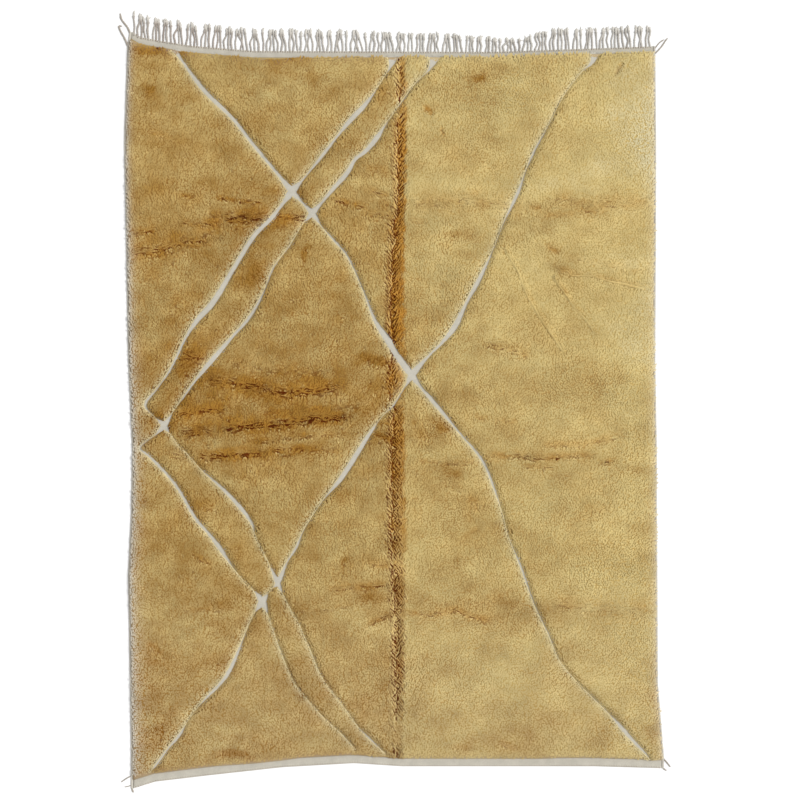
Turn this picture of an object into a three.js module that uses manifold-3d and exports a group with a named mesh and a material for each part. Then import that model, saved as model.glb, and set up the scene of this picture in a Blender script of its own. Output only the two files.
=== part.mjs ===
// A thick Moroccan pile rug, laid flat: one lumpy gold pile with sunken ivory lines, a woven ivory band
// at each end, an overcast cord down each side, and a knotted fringe at the top end.
// Millimetres, +Z up, the floor at Z 0, the fringe towards +Y, the origin under the cloth's centre.
import * as THREE from 'three';
import Module from 'manifold-3d';

// Driving sizes
const clothWidth = 2200;
const pileHeight = 24;
const pieceGap = 0.3;

// The slab's mesh: cells that grow finer at the rim and along the middle fold
const cellAcross = 84;
const cellAlong = 86;
const rimStep = 13;
const foldSteps = [-48, -22, 0, 22, 48];
const foldMiddle = 18;

// The woven edges
const edgeCord = { wide: 10, high: 7, shoulder: 4, crown: 3 };
const topBand = { wide: 27, thick: 3, ridge: 5.5, ridgeWide: 8 };
const bottomBand = { wide: 34, thick: 3, ridge: 5, ridgeWide: 9 };

// How the sides wander, going down the rug
const sideEdges = [
  { y: 1565, left: -1093, right: 1096 },
  { y: 1500, left: -1103, right: 1097 },
  { y: 1100, left: -1117, right: 1101 },
  { y: 700, left: -1109, right: 1100 },
  { y: 200, left: -1100, right: 1097 },
  { y: -180, left: -1083, right: 1104 },
  { y: -450, left: -1088, right: 1104 },
  { y: -700, left: -1100, right: 1106 },
  { y: -1150, left: -1092, right: 1108 },
  { y: -1450, left: -1088, right: 1133 },
];

// How the two ends sag between their corners, going right
const topEdge = [
  { x: -1100, y: 1562 },
  { x: -1060, y: 1540 },
  { x: -980, y: 1526 },
  { x: -840, y: 1504 },
  { x: -580, y: 1483 },
  { x: 420, y: 1479 },
  { x: 820, y: 1492 },
  { x: 1100, y: 1502 },
];
const bottomEdge = [
  { x: -1100, y: -1588 },
  { x: -1010, y: -1560 },
  { x: -780, y: -1533 },
  { x: -480, y: -1500 },
  { x: -180, y: -1483 },
  { x: 20, y: -1496 },
  { x: 820, y: -1496 },
  { x: 1100, y: -1504 },
];

// The pile's slow waves, and the soft troughs where it was folded for storage
const waves = [
  { length: 460, heading: 0.4, rise: 1.1, phase: 0.3 },
  { length: 310, heading: 1.9, rise: 0.9, phase: 2.1 },
  { length: 190, heading: 2.7, rise: 0.7, phase: 4.4 },
];
const lumpRise = 1.4;
const rimDrop = { edge: 8, next: 2 };
const middleFold = [
  { x: 33, y: 1460 },
  { x: 33, y: 1280 },
  { x: 21, y: 820 },
  { x: -4, y: 90 },
  { x: 21, y: -180 },
  { x: 21, y: -1480 },
];
const middleFoldSize = { half: 34, deep: 7 };
const crossFolds = [
  { x0: -1090, y0: 845, x1: -430, y1: 800, half: 62, deep: 3.5 },
  { x0: 30, y0: 838, x1: 1095, y1: 850, half: 66, deep: 3 },
  { x0: -900, y0: 104, x1: -390, y1: 92, half: 55, deep: 3 },
  { x0: -950, y0: -75, x1: -10, y1: -90, half: 62, deep: 4 },
  { x0: -820, y0: -190, x1: -10, y1: -200, half: 60, deep: 3.5 },
  { x0: 440, y0: -196, x1: 1100, y1: -205, half: 62, deep: 3 },
  { x0: 30, y0: -822, x1: 1100, y1: -830, half: 64, deep: 3 },
  { x0: -1000, y0: -825, x1: -50, y1: -815, half: 64, deep: 2 },
];

// The four ivory lines: where each runs and how wide it shows. The ends run out over the bands.
const lineDepth = 11;
const lineFlare = 0.34;
const lineStep = 92;
const crossingRadius = 19;
const ivoryLines = {
  longRight: [
    { x: -915, y: 1500, wide: 30 },
    { x: -790, y: 1330, wide: 20 },
    { x: -540, y: 1040, wide: 22 },
    { x: -329, y: 817, wide: 24 },
    { x: -170, y: 610, wide: 18 },
    { x: -75, y: 360, wide: 17 },
    { x: 83, y: 133, wide: 25 },
    { x: 400, y: -230, wide: 18 },
    { x: 530, y: -630, wide: 17 },
    { x: 680, y: -1015, wide: 20 },
    { x: 825, y: -1220, wide: 23 },
    { x: 1090, y: -1480, wide: 18 },
  ],
  longLeft: [
    { x: 880, y: 1510, wide: 24 },
    { x: 740, y: 1330, wide: 20 },
    { x: 515, y: 905, wide: 18 },
    { x: 400, y: 590, wide: 20 },
    { x: 275, y: 360, wide: 18 },
    { x: 83, y: 133, wide: 25 },
    { x: -100, y: -135, wide: 20 },
    { x: -390, y: -560, wide: 20 },
    { x: -542, y: -808, wide: 24 },
    { x: -625, y: -980, wide: 20 },
    { x: -870, y: -1350, wide: 20 },
    { x: -1040, y: -1580, wide: 20 },
  ],
  outerZigzag: [
    { x: 30, y: 1500, wide: 30 },
    { x: -112, y: 1258, wide: 20 },
    { x: -412, y: 896, wide: 26 },
    { x: -572, y: 708, wide: 24 },
    { x: -900, y: 196, wide: 22 },
    { x: -1025, y: 8, wide: 22 },
    { x: -950, y: -75, wide: 26 },
    { x: -750, y: -297, wide: 18 },
    { x: -530, y: -620, wide: 16 },
    { x: -471, y: -712, wide: 22 },
    { x: -380, y: -900, wide: 13 },
    { x: -280, y: -1140, wide: 15 },
    { x: -5, y: -1485, wide: 18 },
  ],
  innerZigzag: [
    { x: 190, y: 1500, wide: 34 },
    { x: 90, y: 1320, wide: 15 },
    { x: -5, y: 1212, wide: 14 },
    { x: -329, y: 817, wide: 25 },
    { x: -462, y: 617, wide: 18 },
    { x: -738, y: 196, wide: 20 },
    { x: -950, y: -75, wide: 26 },
    { x: -1042, y: -171, wide: 24 },
    { x: -917, y: -300, wide: 22 },
    { x: -712, y: -580, wide: 21 },
    { x: -542, y: -808, wide: 26 },
    { x: -475, y: -970, wide: 17 },
    { x: -383, y: -1158, wide: 16 },
    { x: -120, y: -1490, wide: 18 },
  ],
};
const crossings = [
  { x: -412, y: 896 },
  { x: -329, y: 817 },
  { x: 83, y: 133 },
  { x: -950, y: -75 },
  { x: -471, y: -712 },
  { x: -542, y: -808 },
];

// Locks of pile that lean out over the woven edges: how many on each edge, and how far they reach
const rimLocks = {
  top: { count: 26, reach: 8 },
  bottom: { count: 26, reach: 8 },
  left: { count: 36, reach: 3 },
  right: { count: 36, reach: 7 },
};
const lockSize = { wide: 44, sunk: 7, low: 9.5, high: 17, tip: 10 };
const lockSpread = { place: [0.35, 0.65], wide: [0.6, 1], reach: [0.5, 1.3], shift: [-0.25, 0.25] };

// Fringe strands are three-sided: flat on the floor, with a ridge along the top. Each has a knot near its
// end; widths and heights are shares of the strand's width.
const fringePitch = 16;
const fringeInset = 12;
const fringeWide = 8;
const fringeSpread = [0.94, 1.04];
const fringeLengths = [
  { x: -1100, long: 106 },
  { x: -600, long: 99 },
  { x: -250, long: 97 },
  { x: 0, long: 86 },
  { x: 240, long: 84 },
  { x: 420, long: 66 },
  { x: 510, long: 54 },
  { x: 590, long: 74 },
  { x: 660, long: 96 },
  { x: 1100, long: 95 },
];
const strandShape = [
  { at: 0, wide: 0.7, raised: 0.6, high: 0.32 },
  { at: 0.1, wide: 0.8, raised: 0, high: 0.6 },
  { at: 0.5, wide: 0.75, raised: 0, high: 0.7 },
  { at: 0.85, wide: 0.95, raised: 0, high: 0.88 },
  { at: 1, wide: 1, raised: 0, high: 0.5 },
];
const slowLean = { reach: 10, turn: 0.33 };
const quickLean = { reach: 2, turn: 1.3 };

// The side cords' warps end in loose cords and wisps at the four corners
const cornerCords = {
  left: [
    { name: 'loop', wide: 8, points: [[-1098, 1500], [-1115, 1538], [-1133, 1571], [-1137, 1587], [-1124, 1586]] },
    { name: 'tail', wide: 8, points: [[-1089, 1554], [-1102, 1582], [-1126, 1614], [-1133, 1641]] },
    { name: 'low wisp', wide: 5, points: [[-1083, -1535], [-1104, -1546], [-1129, -1563]] },
    { name: 'side wisp', wide: 4, points: [[-1083, -1574], [-1098, -1580], [-1115, -1583]] },
    { name: 'end wisp', wide: 7, points: [[-1083, -1580], [-1082, -1592], [-1077, -1606]] },
  ],
  right: [
    { name: 'loop', wide: 6, points: [[1094, 1470], [1122, 1500], [1141, 1528], [1149, 1538]] },
    { name: 'straight', wide: 5, points: [[1092, 1490], [1116, 1519], [1134, 1531]] },
    { name: 'low wisp', wide: 6, points: [[1128, -1462], [1143, -1478], [1160, -1500]] },
    { name: 'end wisp', wide: 6, points: [[1128, -1498], [1134, -1508], [1144, -1514]] },
  ],
};

const colours = {
  goldPile: { color: '#bd9c57', roughness: 0.95, metalness: 0 },
  ivoryWarp: { color: '#b8b4a6', roughness: 0.9, metalness: 0 },
};

const wasm = await Module();
wasm.setup();

function mix(a, b, t) {
  return a + (b - a) * t;
}

// A Lehmer generator: the same row of numbers on every run
const lehmer = { factor: 16807, modulus: 2147483647 };
let seed = 7;
function random([low, high]) {
  seed = (seed * lehmer.factor) % lehmer.modulus;
  return mix(low, high, seed / lehmer.modulus);
}

// Reads a table, sorted or reversed along its key, at a place between its rows
function read(table, key, value, at) {
  const rising = table[0][key] < table[table.length - 1][key];
  const rows = rising ? table : [...table].reverse();
  const above = rows.findIndex((row) => row[key] > at);
  if (above === 0) return rows[0][value];
  if (above < 0) return rows[rows.length - 1][value];
  const [low, high] = [rows[above - 1], rows[above]];
  return mix(low[value], high[value], (at - low[key]) / (high[key] - low[key]));
}

// A place on the cloth: u goes from the left edge to the right, v from the bottom to the top,
// each inside the given margins
function onCloth(u, v, margin) {
  const across = mix(-clothWidth / 2, clothWidth / 2, u);
  const low = read(bottomEdge, 'x', 'y', across) + margin.bottom;
  const high = read(topEdge, 'x', 'y', across) - margin.top;
  const y = mix(low, high, v);
  const left = read(sideEdges, 'y', 'left', y) + margin.side;
  const right = read(sideEdges, 'y', 'right', y) - margin.side;
  return { x: mix(left, right, u), y };
}

const pileMargin = {
  side: edgeCord.wide + pieceGap,
  bottom: bottomBand.wide + pieceGap,
  top: topBand.wide + pieceGap,
};

// Even stations along a length, with special ones kept and near neighbours dropped
function stations(length, step, special) {
  const count = Math.round(length / step);
  const even = Array.from({ length: count - 1 }, (_, i) => ((i + 1) * length) / count);
  const clear = even.filter((at) => special.every((s) => Math.abs(s - at) > step * 0.4));
  return [0, length, ...special, ...clear].sort((a, b) => a - b).map((at) => at / length);
}

const clothLength = topEdge.at(-1).y - bottomEdge.at(-1).y;
const columns = stations(clothWidth, cellAcross, [
  rimStep,
  clothWidth - rimStep,
  ...foldSteps.map((step) => clothWidth / 2 + foldMiddle + step),
]);
const rows = stations(clothLength, cellAlong, [rimStep, clothLength - rimStep]);

// How deep a soft trough is at a distance from its line
function trough(distance, half, deep) {
  return distance < half ? (deep * (1 + Math.cos((Math.PI * distance) / half))) / 2 : 0;
}

function distanceToLine(x, y, line) {
  const [dx, dy] = [line.x1 - line.x0, line.y1 - line.y0];
  const along = ((x - line.x0) * dx + (y - line.y0) * dy) / (dx * dx + dy * dy);
  const t = Math.min(1, Math.max(0, along));
  return Math.hypot(x - line.x0 - t * dx, y - line.y0 - t * dy);
}

function pileTop(x, y) {
  let z = pileHeight;
  for (const wave of waves) {
    const along = x * Math.cos(wave.heading) + y * Math.sin(wave.heading);
    z += wave.rise * Math.sin((2 * Math.PI * along) / wave.length + wave.phase);
  }
  z -= trough(Math.abs(x - read(middleFold, 'y', 'x', y)), middleFoldSize.half, middleFoldSize.deep);
  for (const fold of crossFolds) z -= trough(distanceToLine(x, y, fold), fold.half, fold.deep);
  return z + random([-lumpRise, lumpRise]);
}

// Turns points and triangles into a solid, whichever way round they were wound
function solid(points, triangles) {
  let volume = 0;
  for (const [a, b, c] of triangles) {
    volume += new THREE.Vector3(...points[a]).dot(
      new THREE.Vector3(...points[b]).cross(new THREE.Vector3(...points[c])),
    );
  }
  const outward = volume > 0 ? triangles : triangles.map(([a, b, c]) => [a, c, b]);
  const vertProperties = new Float32Array(points.flat());
  const triVerts = new Uint32Array(outward.flat());
  return new wasm.Manifold(new wasm.Mesh({ numProp: 3, vertProperties, triVerts }));
}

// A closed solid through rings of equal length, in order
function loft(rings) {
  const count = rings[0].length;
  const triangles = [];
  for (let r = 0; r + 1 < rings.length; r += 1) {
    for (let i = 0; i < count; i += 1) {
      const [a, b] = [r * count + i, r * count + ((i + 1) % count)];
      triangles.push([a, b, b + count], [a, b + count, a + count]);
    }
  }
  const last = (rings.length - 1) * count;
  for (let i = 1; i + 1 < count; i += 1) {
    triangles.push([0, i + 1, i], [last, last + i, last + i + 1]);
  }
  return solid(rings.flat(), triangles);
}

// The pile before its lines are sunk: a lumpy top, upright sides and a flat underside
function pileSlab() {
  const [across, along] = [columns.length, rows.length];
  const points = [];
  rows.forEach((v, j) => {
    columns.forEach((u, i) => {
      const { x, y } = onCloth(u, v, pileMargin);
      const inward = Math.min(i, j, across - 1 - i, along - 1 - j);
      const drop = inward === 0 ? rimDrop.edge : inward === 1 ? rimDrop.next : 0;
      points.push([x, y, pileTop(x, y) - drop]);
    });
  });
  const triangles = [];
  for (let j = 0; j + 1 < along; j += 1) {
    for (let i = 0; i + 1 < across; i += 1) {
      const a = j * across + i;
      triangles.push([a, a + 1, a + across + 1], [a, a + across + 1, a + across]);
    }
  }
  const rim = [];
  for (let i = 0; i + 1 < across; i += 1) rim.push(i);
  for (let j = 0; j + 1 < along; j += 1) rim.push(j * across + across - 1);
  for (let i = across - 1; i > 0; i -= 1) rim.push((along - 1) * across + i);
  for (let j = along - 1; j > 0; j -= 1) rim.push(j * across);
  const under = points.length;
  rim.forEach((top) => points.push([points[top][0], points[top][1], 0]));
  rim.forEach((top, k) => {
    const next = (k + 1) % rim.length;
    triangles.push([under + k, under + next, rim[next]], [under + k, rim[next], top]);
  });
  const outline = rim.map((top) => new THREE.Vector2(points[top][0], points[top][1]));
  for (const [a, b, c] of THREE.ShapeUtils.triangulateShape(outline, [])) {
    triangles.push([under + a, under + c, under + b]);
  }
  return solid(points, triangles);
}

// One lock of pile: a pyramid that grows out of the slab's side and droops over the woven edge
function rimLock(root, outward, reach) {
  const along = { x: -outward.y, y: outward.x };
  const half = (lockSize.wide * random(lockSpread.wide)) / 2;
  const corner = (side, z) => [
    root.x + along.x * side * half - outward.x * lockSize.sunk,
    root.y + along.y * side * half - outward.y * lockSize.sunk,
    z,
  ];
  const out = reach * random(lockSpread.reach);
  const shift = lockSize.wide * random(lockSpread.shift);
  const tip = [
    root.x + outward.x * out + along.x * shift,
    root.y + outward.y * out + along.y * shift,
    lockSize.tip,
  ];
  const points = [corner(-1, lockSize.low), corner(1, lockSize.low), corner(1, lockSize.high)];
  points.push(corner(-1, lockSize.high), tip);
  return solid(points, [[0, 1, 2], [0, 2, 3], [0, 4, 1], [1, 4, 2], [2, 4, 3], [3, 4, 0]]);
}

function allRimLocks() {
  const edges = {
    top: (t) => [onCloth(t, 1, pileMargin), { x: 0, y: 1 }],
    bottom: (t) => [onCloth(t, 0, pileMargin), { x: 0, y: -1 }],
    left: (t) => [onCloth(0, t, pileMargin), { x: -1, y: 0 }],
    right: (t) => [onCloth(1, t, pileMargin), { x: 1, y: 0 }],
  };
  const locks = [];
  for (const [edge, place] of Object.entries(edges)) {
    const { count, reach } = rimLocks[edge];
    for (let i = 0; i < count; i += 1) {
      const [root, outward] = place((i + random(lockSpread.place)) / count);
      locks.push(rimLock(root, outward, reach));
    }
  }
  return wasm.Manifold.union(locks);
}

// The tool that sinks one ivory line: narrow at its floor, flaring upwards
function lineTool(table) {
  const path = new THREE.CatmullRomCurve3(
    table.map((row) => new THREE.Vector3(row.x, row.y, row.wide)),
    false,
    'centripetal',
  );
  const steps = Math.ceil(path.getLength() / lineStep);
  const floor = pileHeight - lineDepth;
  const above = pileHeight + lineDepth;
  const rings = path.getSpacedPoints(steps).map((point, i) => {
    const tangent = path.getTangentAt(i / steps).setZ(0).normalize();
    const [nx, ny] = [-tangent.y, tangent.x];
    const low = point.z / 2;
    const high = low + lineFlare * (above - floor);
    return [[-low, floor], [low, floor], [high, above], [-high, above]].map(([side, z]) => [
      point.x + nx * side,
      point.y + ny * side,
      z,
    ]);
  });
  return loft(rings);
}

// The wider diamond where two lines cross
function crossingTool({ x, y }) {
  const ring = (radius, z) => [[1, 0], [0, 1], [-1, 0], [0, -1]].map(([i, j]) => [
    x + i * radius,
    y + j * radius,
    z,
  ]);
  const floor = pileHeight - lineDepth;
  const flare = crossingRadius + lineFlare * 2 * lineDepth;
  return loft([ring(crossingRadius, floor), ring(flare, floor + 2 * lineDepth)]);
}

function pileField() {
  const tools = [...Object.values(ivoryLines).map(lineTool), ...crossings.map(crossingTool)];
  return pileSlab().add(allRimLocks()).subtract(wasm.Manifold.union(tools));
}

// A flat woven band along one end, with a twined ridge along its outer edge
function endBand(edge, band) {
  const v = edge === 'top' ? 1 : 0;
  const margin = { side: edgeCord.wide + pieceGap, bottom: 0, top: 0 };
  const section = [
    [0, 0],
    [0, band.ridge - 1],
    [band.ridgeWide / 2, band.ridge],
    [band.ridgeWide, band.thick],
    [band.wide, band.thick],
    [band.wide, 0],
  ];
  const rings = columns.map((u) => section.map(([inward, z]) => {
    const inset = { ...margin, [edge]: inward };
    const { x, y } = onCloth(u, v, inset);
    return [x, y, z];
  }));
  return loft(rings);
}

// A strand that lies on the floor along a path of [x, y] points. Its root is raised, inside its backing.
function strand(path, wide) {
  const curve = new THREE.CatmullRomCurve3(path.map(([x, y]) => new THREE.Vector3(x, y, 0)));
  return loft(strandShape.map((row) => {
    const point = curve.getPointAt(row.at);
    const tangent = curve.getTangentAt(row.at);
    const half = (wide * row.wide) / 2;
    return [
      [point.x - tangent.y * half, point.y + tangent.x * half, row.raised],
      [point.x + tangent.y * half, point.y - tangent.x * half, row.raised],
      [point.x, point.y, wide * row.high],
    ];
  }));
}

// Each strand leaves the band square to it, then leans the way that its neighbours do
function fringe() {
  const first = edgeCord.wide + fringeInset;
  const count = Math.round((clothWidth - 2 * first) / fringePitch);
  const strands = [];
  for (let i = 0; i <= count; i += 1) {
    const across = mix(first, clothWidth - first, i / count) / clothWidth;
    const root = onCloth(across, 1, { side: 0, bottom: 0, top: 0 });
    const long = read(fringeLengths, 'x', 'long', root.x) * random(fringeSpread);
    const slow = slowLean.reach * Math.sin(slowLean.turn * i);
    const lean = slow + quickLean.reach * Math.sin(quickLean.turn * i);
    const path = [
      [root.x, root.y - topBand.ridgeWide / 2],
      [root.x, root.y + fringeWide],
      [root.x + lean / 3, root.y + long / 2],
      [root.x + lean, root.y + long],
    ];
    strands.push(strand(path, fringeWide));
  }
  return wasm.Manifold.union(strands);
}

// An overcast cord down one side, with the loose cords at its two ends
function sideCord(side) {
  const [u, sign] = side === 'left' ? [0, 1] : [1, -1];
  const { wide, high, shoulder, crown } = edgeCord;
  const section = [[0, 0], [wide, 0], [wide, shoulder], [wide - crown, high], [crown, high], [0, shoulder]];
  const edge = { side: 0, bottom: 0, top: 0 };
  const pileEnds = { ...pileMargin, side: 0 };
  const places = [onCloth(u, 0, edge), ...rows.map((v) => onCloth(u, v, pileEnds)), onCloth(u, 1, edge)];
  const body = loft(places.map(({ x, y }) => section.map(([inward, z]) => [x + sign * inward, y, z])));
  return wasm.Manifold.union([body, ...cornerCords[side].map((cord) => strand(cord.points, cord.wide))]);
}

function named(name, body, colour) {
  const { vertProperties, triVerts, numProp } = body.getMesh();
  const positions = new Float32Array((vertProperties.length / numProp) * 3);
  for (let i = 0; i < positions.length; i += 1) {
    positions[i] = vertProperties[Math.floor(i / 3) * numProp + (i % 3)];
  }
  const geometry = new THREE.BufferGeometry();
  geometry.setAttribute('position', new THREE.BufferAttribute(positions, 3));
  geometry.setIndex(new THREE.BufferAttribute(new Uint32Array(triVerts), 1));
  const mesh = new THREE.Mesh(geometry, new THREE.MeshStandardMaterial(colour));
  mesh.name = name;
  return mesh;
}

const rug = new THREE.Group();
rug.add(
  named('pile_field', pileField(), colours.goldPile),
  named('top_end_band', endBand('top', topBand).add(fringe()), colours.ivoryWarp),
  named('bottom_end_band', endBand('bottom', bottomBand), colours.ivoryWarp),
  named('selvedge_left', sideCord('left'), colours.ivoryWarp),
  named('selvedge_right', sideCord('right'), colours.ivoryWarp),
);

export default rug;
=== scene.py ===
import math
import bpy
import numpy as np
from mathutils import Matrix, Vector, kdtree


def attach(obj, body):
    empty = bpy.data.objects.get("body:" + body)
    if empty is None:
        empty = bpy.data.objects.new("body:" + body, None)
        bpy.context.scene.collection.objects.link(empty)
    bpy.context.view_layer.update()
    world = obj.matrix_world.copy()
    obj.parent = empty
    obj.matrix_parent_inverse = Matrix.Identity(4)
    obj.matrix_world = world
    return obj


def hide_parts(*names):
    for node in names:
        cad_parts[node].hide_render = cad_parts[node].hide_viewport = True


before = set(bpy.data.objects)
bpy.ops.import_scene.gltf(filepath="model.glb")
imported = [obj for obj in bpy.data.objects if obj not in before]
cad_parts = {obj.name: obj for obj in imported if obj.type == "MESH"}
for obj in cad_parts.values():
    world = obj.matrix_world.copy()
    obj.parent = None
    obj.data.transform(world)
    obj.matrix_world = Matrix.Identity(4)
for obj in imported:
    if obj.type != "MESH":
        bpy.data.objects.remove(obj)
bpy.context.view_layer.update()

# Every size below is in millimetres: X to the right, Y towards the fringe, Z up from the floor
mm = 0.001

cloth = {
    "wide": 2200,
    "cordWide": 10,
    "gap": 0.3,
    "sides": [  # y, left edge, right edge
        (1565, -1093, 1096), (1500, -1103, 1097), (1100, -1117, 1101), (700, -1109, 1100),
        (200, -1100, 1097), (-180, -1083, 1104), (-450, -1088, 1104), (-700, -1100, 1106),
        (-1150, -1092, 1108), (-1450, -1088, 1133),
    ],
    "top": [  # x, y
        (-1100, 1562), (-1060, 1540), (-980, 1526), (-840, 1504), (-580, 1483), (420, 1479),
        (820, 1492), (1100, 1502),
    ],
    "bottom": [
        (-1100, -1588), (-1010, -1560), (-780, -1533), (-480, -1500), (-180, -1483), (20, -1496),
        (820, -1496), (1100, -1504),
    ],
    "topShows": [  # x, how much of the top band the pile leaves bare
        (-1083, 33), (-983, 29), (-783, 33), (-683, 31), (-583, 33), (-483, 37), (-383, 29),
        (-175, 26), (117, 25), (317, 17), (517, 12), (617, 8), (717, 10), (817, 15), (917, 25),
        (1067, 25),
    ],
    "bottomShows": [  # the same at the bottom
        (-1050, 42), (-1000, 34), (-783, 37), (-583, 29), (-480, 29), (-383, 38), (17, 33),
        (600, 33), (817, 42), (1067, 34),
    ],
    "shownLimits": (37, 24),  # the tufts stand no further in at the bottom, and no further out at the top
}

# Where the ivory lines run and how wide each shows: x, y, wide. Under 5 the gold pile closes over it.
ivoryLines = {
    "longRight": [
        (-905, 1490, 34), (-877, 1447, 19), (-784, 1321, 25), (-657, 1194, 21), (-575, 1090, 21),
        (-464, 956, 21), (-415, 897, 34), (-367, 845, 16), (-330, 806, 33), (-293, 755, 11),
        (-240, 693, 16), (-188, 633, 14), (-121, 492, 12), (-69, 358, 21), (-25, 291, 33), (20, 217, 30),
        (83, 132, 33), (123, 80, 18), (167, 29, 23), (284, -110, 12), (379, -227, 16), (430, -351, 12),
        (460, -439, 4), (481, -519, 3), (540, -673, 13), (598, -830, 9), (657, -955, 9), (697, -1050, 4),
        (759, -1130, 3), (832, -1203, 7), (905, -1276, 8), (957, -1335, 21), (1008, -1393, 18),
        (1059, -1445, 12), (1080, -1470, 4),
    ],
    "longLeft": [
        (870, 1500, 44), (847, 1471, 40), (832, 1434, 22), (796, 1398, 7), (708, 1281, 4), (661, 1186, 6),
        (591, 1061, 14), (555, 974, 9), (525, 893, 18), (467, 769, 10), (423, 657, 8), (357, 518, 24),
        (313, 438, 18), (262, 335, 29), (211, 270, 18), (152, 211, 14), (83, 132, 33), (57, 87, 12),
        (6, 7, 12), (-47, -51, 6), (-92, -111, 20), (-211, -297, 28), (-278, -379, 15), (-367, -516, 16),
        (-397, -583, 24), (-434, -643, 19), (-475, -731, 33), (-505, -765, 7), (-538, -809, 44),
        (-575, -865, 9), (-613, -954, 16), (-679, -1103, 28), (-717, -1155, 24), (-776, -1215, 21),
        (-836, -1289, 7), (-880, -1360, 24), (-932, -1423, 19), (-988, -1498, 20), (-1005, -1520, 4),
    ],
    "outerZigzag": [
        (18, 1490, 60), (5, 1455, 50), (-5, 1420, 22), (-25, 1380, 6), (-69, 1313, 10), (-114, 1254, 24),
        (-174, 1191, 26), (-226, 1127, 16), (-278, 1060, 21), (-374, 941, 16), (-415, 897, 42),
        (-449, 852, 22), (-508, 778, 22), (-568, 718, 26), (-650, 589, 25), (-746, 432, 31),
        (-806, 365, 28), (-851, 299, 19), (-925, 150, 16), (-977, 75, 13), (-1025, 8, 19), (-985, -40, 7),
        (-947, -77, 33), (-918, -118, 4), (-884, -163, 3), (-858, -185, 10), (-813, -237, 7),
        (-776, -274, 15), (-672, -371, 26), (-583, -483, 24), (-564, -542, 9), (-523, -624, 4),
        (-475, -731, 33), (-445, -791, 7), (-419, -843, 4), (-382, -906, 10), (-363, -954, 4),
        (-333, -1022, 13), (-293, -1118, 10), (-255, -1174, 4), (-196, -1252, 3), (-136, -1334, 11),
        (-92, -1379, 16), (-25, -1442, 6),
    ],
    "innerZigzag": [
        (185, 1490, 70), (178, 1460, 56), (167, 1427, 29), (145, 1390, 10), (101, 1346, 7), (36, 1259, 9),
        (10, 1222, 4), (-32, 1165, 13), (-62, 1120, 26), (-110, 1064, 22), (-151, 1031, 19),
        (-188, 971, 26), (-240, 912, 24), (-293, 848, 19), (-330, 807, 33), (-367, 763, 7),
        (-419, 678, 10), (-464, 618, 9), (-497, 570, 13), (-523, 499, 12), (-557, 429, 19),
        (-598, 365, 21), (-657, 299, 19), (-758, 183, 26), (-821, 105, 16), (-865, 42, 14), (-906, -18, 6),
        (-947, -77, 33), (-985, -118, 12), (-1046, -170, 16), (-1007, -207, 19), (-903, -319, 22),
        (-813, -468, 25), (-761, -527, 26), (-717, -583, 31), (-679, -639, 22), (-620, -716, 8),
        (-579, -757, 10), (-538, -809, 44), (-516, -858, 16), (-493, -925, 7), (-464, -1007, 15),
        (-419, -1118, 3), (-389, -1170, 3), (-360, -1204, 9), (-278, -1297, 3), (-200, -1367, 12),
        (-151, -1423, 6),
    ],
}

# The middle fold: x and y of its crack, and how far it gapes
middleFold = [
    (33, 1475, 0.3), (33, 1400, 0.7), (34, 1300, 0.6), (33, 1262, 0.1), (32, 1230, 0.5), (30, 1180, 0.8),
    (26, 1050, 1.0), (28, 900, 1.0), (24, 820, 1.1), (8, 740, 1.1), (16, 690, 1.1), (4, 640, 1.1),
    (1, 560, 1.2), (0, 480, 1.1), (-4, 400, 1.1), (-4, 310, 1.1), (6, 275, 0.9), (4, 235, 0.3),
    (0, 180, 0.6), (-3, 90, 0.8), (-2, 60, 0.5), (4, 20, 0.0), (12, -10, 0.6), (3, -70, 0.9),
    (10, -100, 1.1), (0, -140, 1.1), (0, -250, 1.1), (2, -400, 1.1), (0, -520, 1.1), (2, -600, 0.9),
    (6, -640, 0.5), (10, -690, 1.1), (8, -740, 0.9), (16, -800, 1.2), (14, -860, 0.8), (18, -950, 0.9),
    (18, -1020, 1.0), (20, -1100, 1.0), (18, -1180, 0.8), (18, -1250, 0.6), (20, -1310, 0.25),
    (20, -1390, 0.15), (16, -1430, 0.5), (18, -1480, 0.3),
]
foldFlank = {
    "left": -14,  # where the turned pile starts
    "deep": 7,
    "rust": [  # y, how rusty the turned pile is
        (1475, 0.8), (300, 0.8), (-50, 0.6), (-300, 0.38), (-600, 0.28), (-900, 0.22), (-1475, 0.12),
    ],
    "right": [  # y, where the turned pile ends
        (1475, 60), (1200, 62), (1000, 60), (800, 58), (600, 55), (400, 53), (200, 52), (0, 52),
        (-200, 55), (-600, 56), (-850, 55), (-1100, 50), (-1480, 46),
    ],
}

# The strands that the pile breaks into along the fold, dark ones with lit ones between, painted as shade and
# highlight
foldStrands = {
    "from": -1475.0,
    "to": 1475,
    "lanes": [  # how far off the crack, how strong, share that the fold's lower half has
        (-28, 0.2, 0.5), (-19, 0.5, 0.9), (-10, 1.25, 1.1), (9, 1.0, 1.0), (18, 0.6, 1.1),
        (28, 0.3, 1.7), (37, 0.12, 3),
    ],
    "step": 16.5,
    "wide": 0.42,
    "litAside": 4.8,
}

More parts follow.
